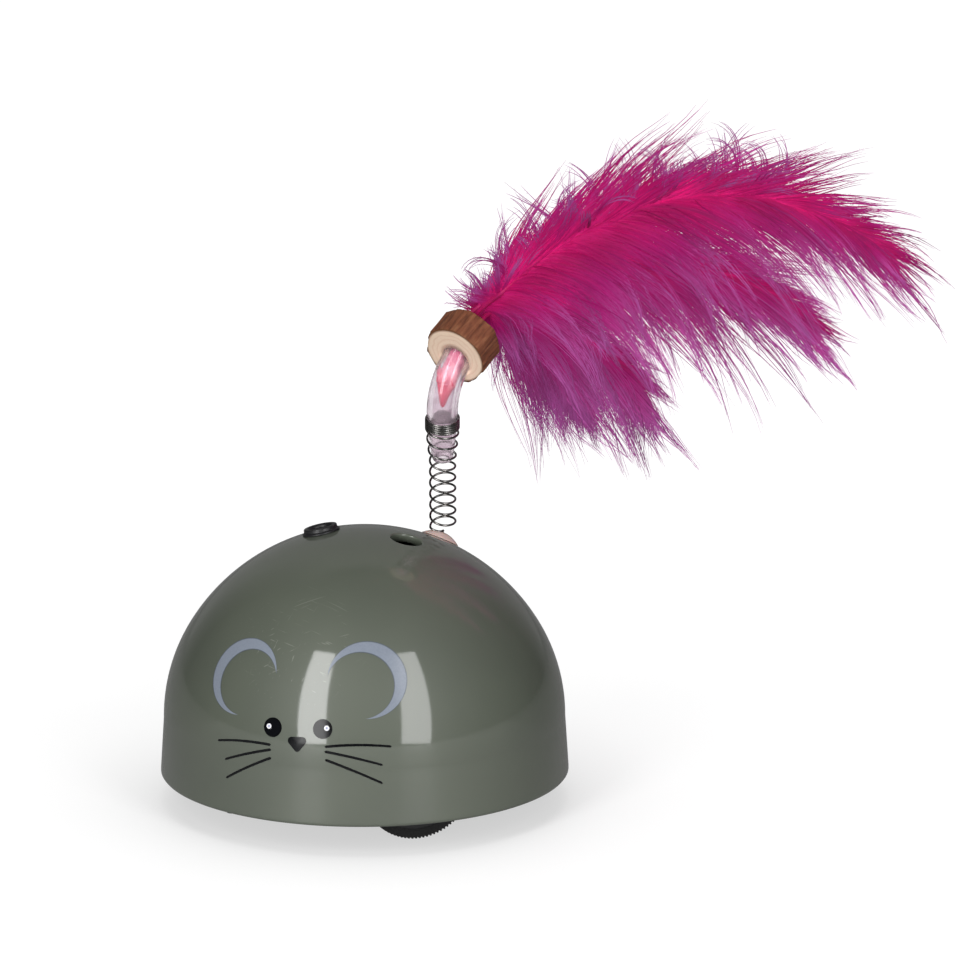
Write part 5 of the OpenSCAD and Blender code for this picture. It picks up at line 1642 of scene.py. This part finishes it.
@dataclass
class Studio:
    """White table and backdrop, a dim room in front with two standing strip lights, and the camera."""

    azimuth: float = VIEW_AZIMUTH
    elevation: float = 14.1
    distance: float = 1570.0
    aim: tuple = (29.09, 9.73, 73.2)
    lens: float = 237.7
    floor_z: float = -4.5
    strip_low: tuple = (1040.0, 20.0)
    strip_high: tuple = (770.0, 1385.0)
    strips: tuple = ((-550.0, 330.0, 8.9), (590.0, 350.0, 6.3))
    backdrop: float = 0.25
    backdrop_fill: float = 0.07
    backdrop_sides: tuple = (-0.06, 0.4)
    backdrop_top: tuple = (0.9, 0.84)
    room: float = 0.02
    gloss_share: float = 0.3
    gloss_behind: float = 0.1
    gloss_turn: tuple = (-60.0, 70.0)
    table_glow: float = 0.88
    glow_run: tuple = (100.0, 400.0)
    shade_reach: float = 90.0
    shade_least: float = 0.67
    table_half: float = 4000.0

    @property
    def front(self) -> Array:
        """Level direction from the toy to the camera."""
        return polar_vector(90.0, self.azimuth - 90)

    @property
    def right(self) -> Array:
        """Level direction to the viewer's right."""
        return polar_vector(90.0, self.azimuth)

    def camera(self) -> None:
        """Stand the camera off along its direction and aim it."""
        e = math.radians(self.elevation)
        toward = math.cos(e) * self.front + math.sin(e) * UP
        data = bpy.data.cameras.new("camera")
        data.lens = self.lens
        data.sensor_width = 36
        data.clip_end = 20
        camera = bpy.data.objects.new("camera", data)
        camera.location = (np.array(self.aim) + self.distance * toward) * MM
        camera.rotation_euler = Vector(toward).to_track_quat("Z", "Y").to_euler()
        bpy.context.scene.collection.objects.link(camera)
        bpy.context.scene.camera = camera

    def lamps(self) -> None:
        """Stand two strip lights in front, leaning in, each even over its area, the left one brighter."""
        for out, width, light in self.strips:
            low, high = ((ahead * self.front + out * self.right + z * UP) * MM
                         for ahead, z in (self.strip_low, self.strip_high))
            up = unit(high - low)
            middle = (low + high) / 2
            back = unit(middle - (middle @ up) * up)
            data = bpy.data.lights.new("strip_light", "AREA")
            data.shape = "RECTANGLE"
            data.size = width * MM
            data.size_y = float(np.linalg.norm(high - low))
            data.energy = light * math.pi * data.size * data.size_y
            lamp = bpy.data.objects.new("strip_light", data)
            turn = np.eye(4)
            turn[:3, :3] = np.stack([np.cross(up, back), up, back], 1)
            turn[:3, 3] = middle
            lamp.matrix_world = Matrix(turn.tolist())
            lamp.visible_camera = False
            bpy.context.scene.collection.objects.link(lamp)

    def world(self) -> None:
        """White to the camera; otherwise a pale backdrop behind the toy up to 60 degrees, and a dim room."""
        world = bpy.data.worlds.new("studio_room")
        world.use_nodes = True
        tree = world.node_tree
        way = add_node(tree, "TexCoord", {}).outputs["Generated"]
        behind = add_node(tree, "VectorMath", {0: way, 1: tuple(-self.front)}, operation="DOT_PRODUCT")
        across = add_node(tree, "VectorMath", {0: way, 1: tuple(self.right)}, operation="DOT_PRODUCT")
        span = add_node(tree, "Math", {0: across.outputs["Value"]}, operation="ABSOLUTE")
        wide = add_node(tree, "Math", {0: behind.outputs["Value"], 1: span}, operation="SUBTRACT")
        none, full = self.backdrop_sides
        wall = add_node(tree, "MapRange", {"Value": wide, "From Min": none, "From Max": full})
        height = add_node(tree, "SeparateXYZ", {0: way}).outputs["Z"]
        none, full = self.backdrop_top
        below = add_node(tree, "MapRange", {"Value": height, "From Min": none, "From Max": full})
        screen = add_node(tree, "Math", {0: wall, 1: below}, operation="MULTIPLY")
        path = add_node(tree, "LightPath", {}).outputs
        top = add_node(tree, "MapRange", {"Value": path["Is Glossy Ray"], "To Min": self.backdrop_fill,
                                          "To Max": self.backdrop})
        level = add_node(tree, "MapRange", {"Value": screen, "To Min": self.room, "To Max": top})
        clear = add_node(tree, "Math", {0: path["Is Camera Ray"], 1: path["Is Transmission Ray"]},
                         operation="MAXIMUM")
        strength = add_node(tree, "Math", {0: level, 1: clear}, operation="MAXIMUM")
        join(tree, tree.nodes["Background"], {"Color": (1, 1, 1, 1), "Strength": strength})
        bpy.context.scene.world = world

    def floor(self) -> None:
        """Lay a white table: it glows where it is seen, less in gloss than to the camera or under the toy."""
        square = ((-1, -1), (1, -1), (1, 1), (-1, 1))
        corners = np.array([(x * self.table_half, y * self.table_half, self.floor_z) for x, y in square])
        material, tree, surface, place = bare_material("white_table")
        fibre = add_node(tree, "TexNoise", {"Vector": place, "Scale": per_mm(40)})
        tint = add_node(tree, "Mix", {0: fibre, 6: linear("#8c8c8c"), 7: linear("#929292")}, data_type="RGBA")
        path = add_node(tree, "LightPath", {}).outputs
        clear = add_node(tree, "Math", {0: path["Is Camera Ray"], 1: path["Is Transmission Ray"]},
                         operation="MAXIMUM")
        ahead = add_node(tree, "VectorMath", {0: place, 1: tuple(self.front)}, operation="DOT_PRODUCT")
        back, fore = (turn * MM for turn in self.gloss_turn)
        facing = add_node(tree, "MapRange", {"Value": ahead.outputs["Value"], "From Min": back,
                                             "From Max": fore, "To Min": self.gloss_behind,
                                             "To Max": self.gloss_share})
        gloss = add_node(tree, "Math", {0: path["Is Glossy Ray"], 1: facing}, operation="MULTIPLY")
        seen = add_node(tree, "Math", {0: clear, 1: gloss}, operation="MAXIMUM")
        away = add_node(tree, "VectorMath", {0: place}, operation="LENGTH")
        near, far = (run * MM for run in self.glow_run)
        lift = add_node(tree, "MapRange", {"Value": away.outputs["Value"], "From Min": near, "From Max": far,
                                           "To Min": self.table_glow, "To Max": 1.0})
        sky = add_node(tree, "AmbientOcclusion", {"Distance": self.shade_reach * MM}, samples=16)
        shade = add_node(tree, "MapRange", {"Value": sky.outputs["AO"], "From Min": 0.4, "From Max": 0.97,
                                            "To Min": self.shade_least, "To Max": 1.0})
        glow = add_node(tree, "Math", {0: lift, 1: shade}, operation="MULTIPLY")
        strength = add_node(tree, "Math", {0: glow, 1: seen}, operation="MULTIPLY")
        join(tree, surface, {"Base Color": tint.outputs[2], "Roughness": 0.5, "Specular IOR Level": 0.2,
                             "Emission Color": (1, 1, 1, 1), "Emission Strength": strength})
        make_piece("table", [(corners, [np.arange(4)[None]])], material, weld=False)

    def build(self) -> None:
        """Set the view transform, and build the camera, the lamps, the room and the table."""
        bpy.context.scene.view_settings.view_transform = "Standard"
        self.camera()
        self.lamps()
        self.world()
        self.floor()


def main() -> None:
    """Build the studio and every sub-assembly in order."""
    logging.basicConfig(level=logging.INFO, format="%(message)s")
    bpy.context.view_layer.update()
    Studio().build()
    dome = Dome()
    satin = MouldedPlastic("satin_black_abs", "#1b1b1d", "#262628", Grain.SPARK).make()
    steel = WorkedMetal("drawn_steel", "#8a8785", "#565655", 0.2, 0.34).make()
    plug = MouldedPlastic("soft_pink_vinyl", "#ecd0c8", "#e4c2b8", Grain.SOFT, 0.1).make()
    quill = DyedQuill().make()
    dome.build(GlossShell().make())
    FacePrint(dome).build()
    Switch(dome).build(satin)
    teaser = Teaser(dome)
    teaser.build(plug, steel, quill)
    Plume(teaser).build(quill)
    RunningGear(frame["nodes"]).build(satin, steel)


if __name__ == "__main__":
    main()
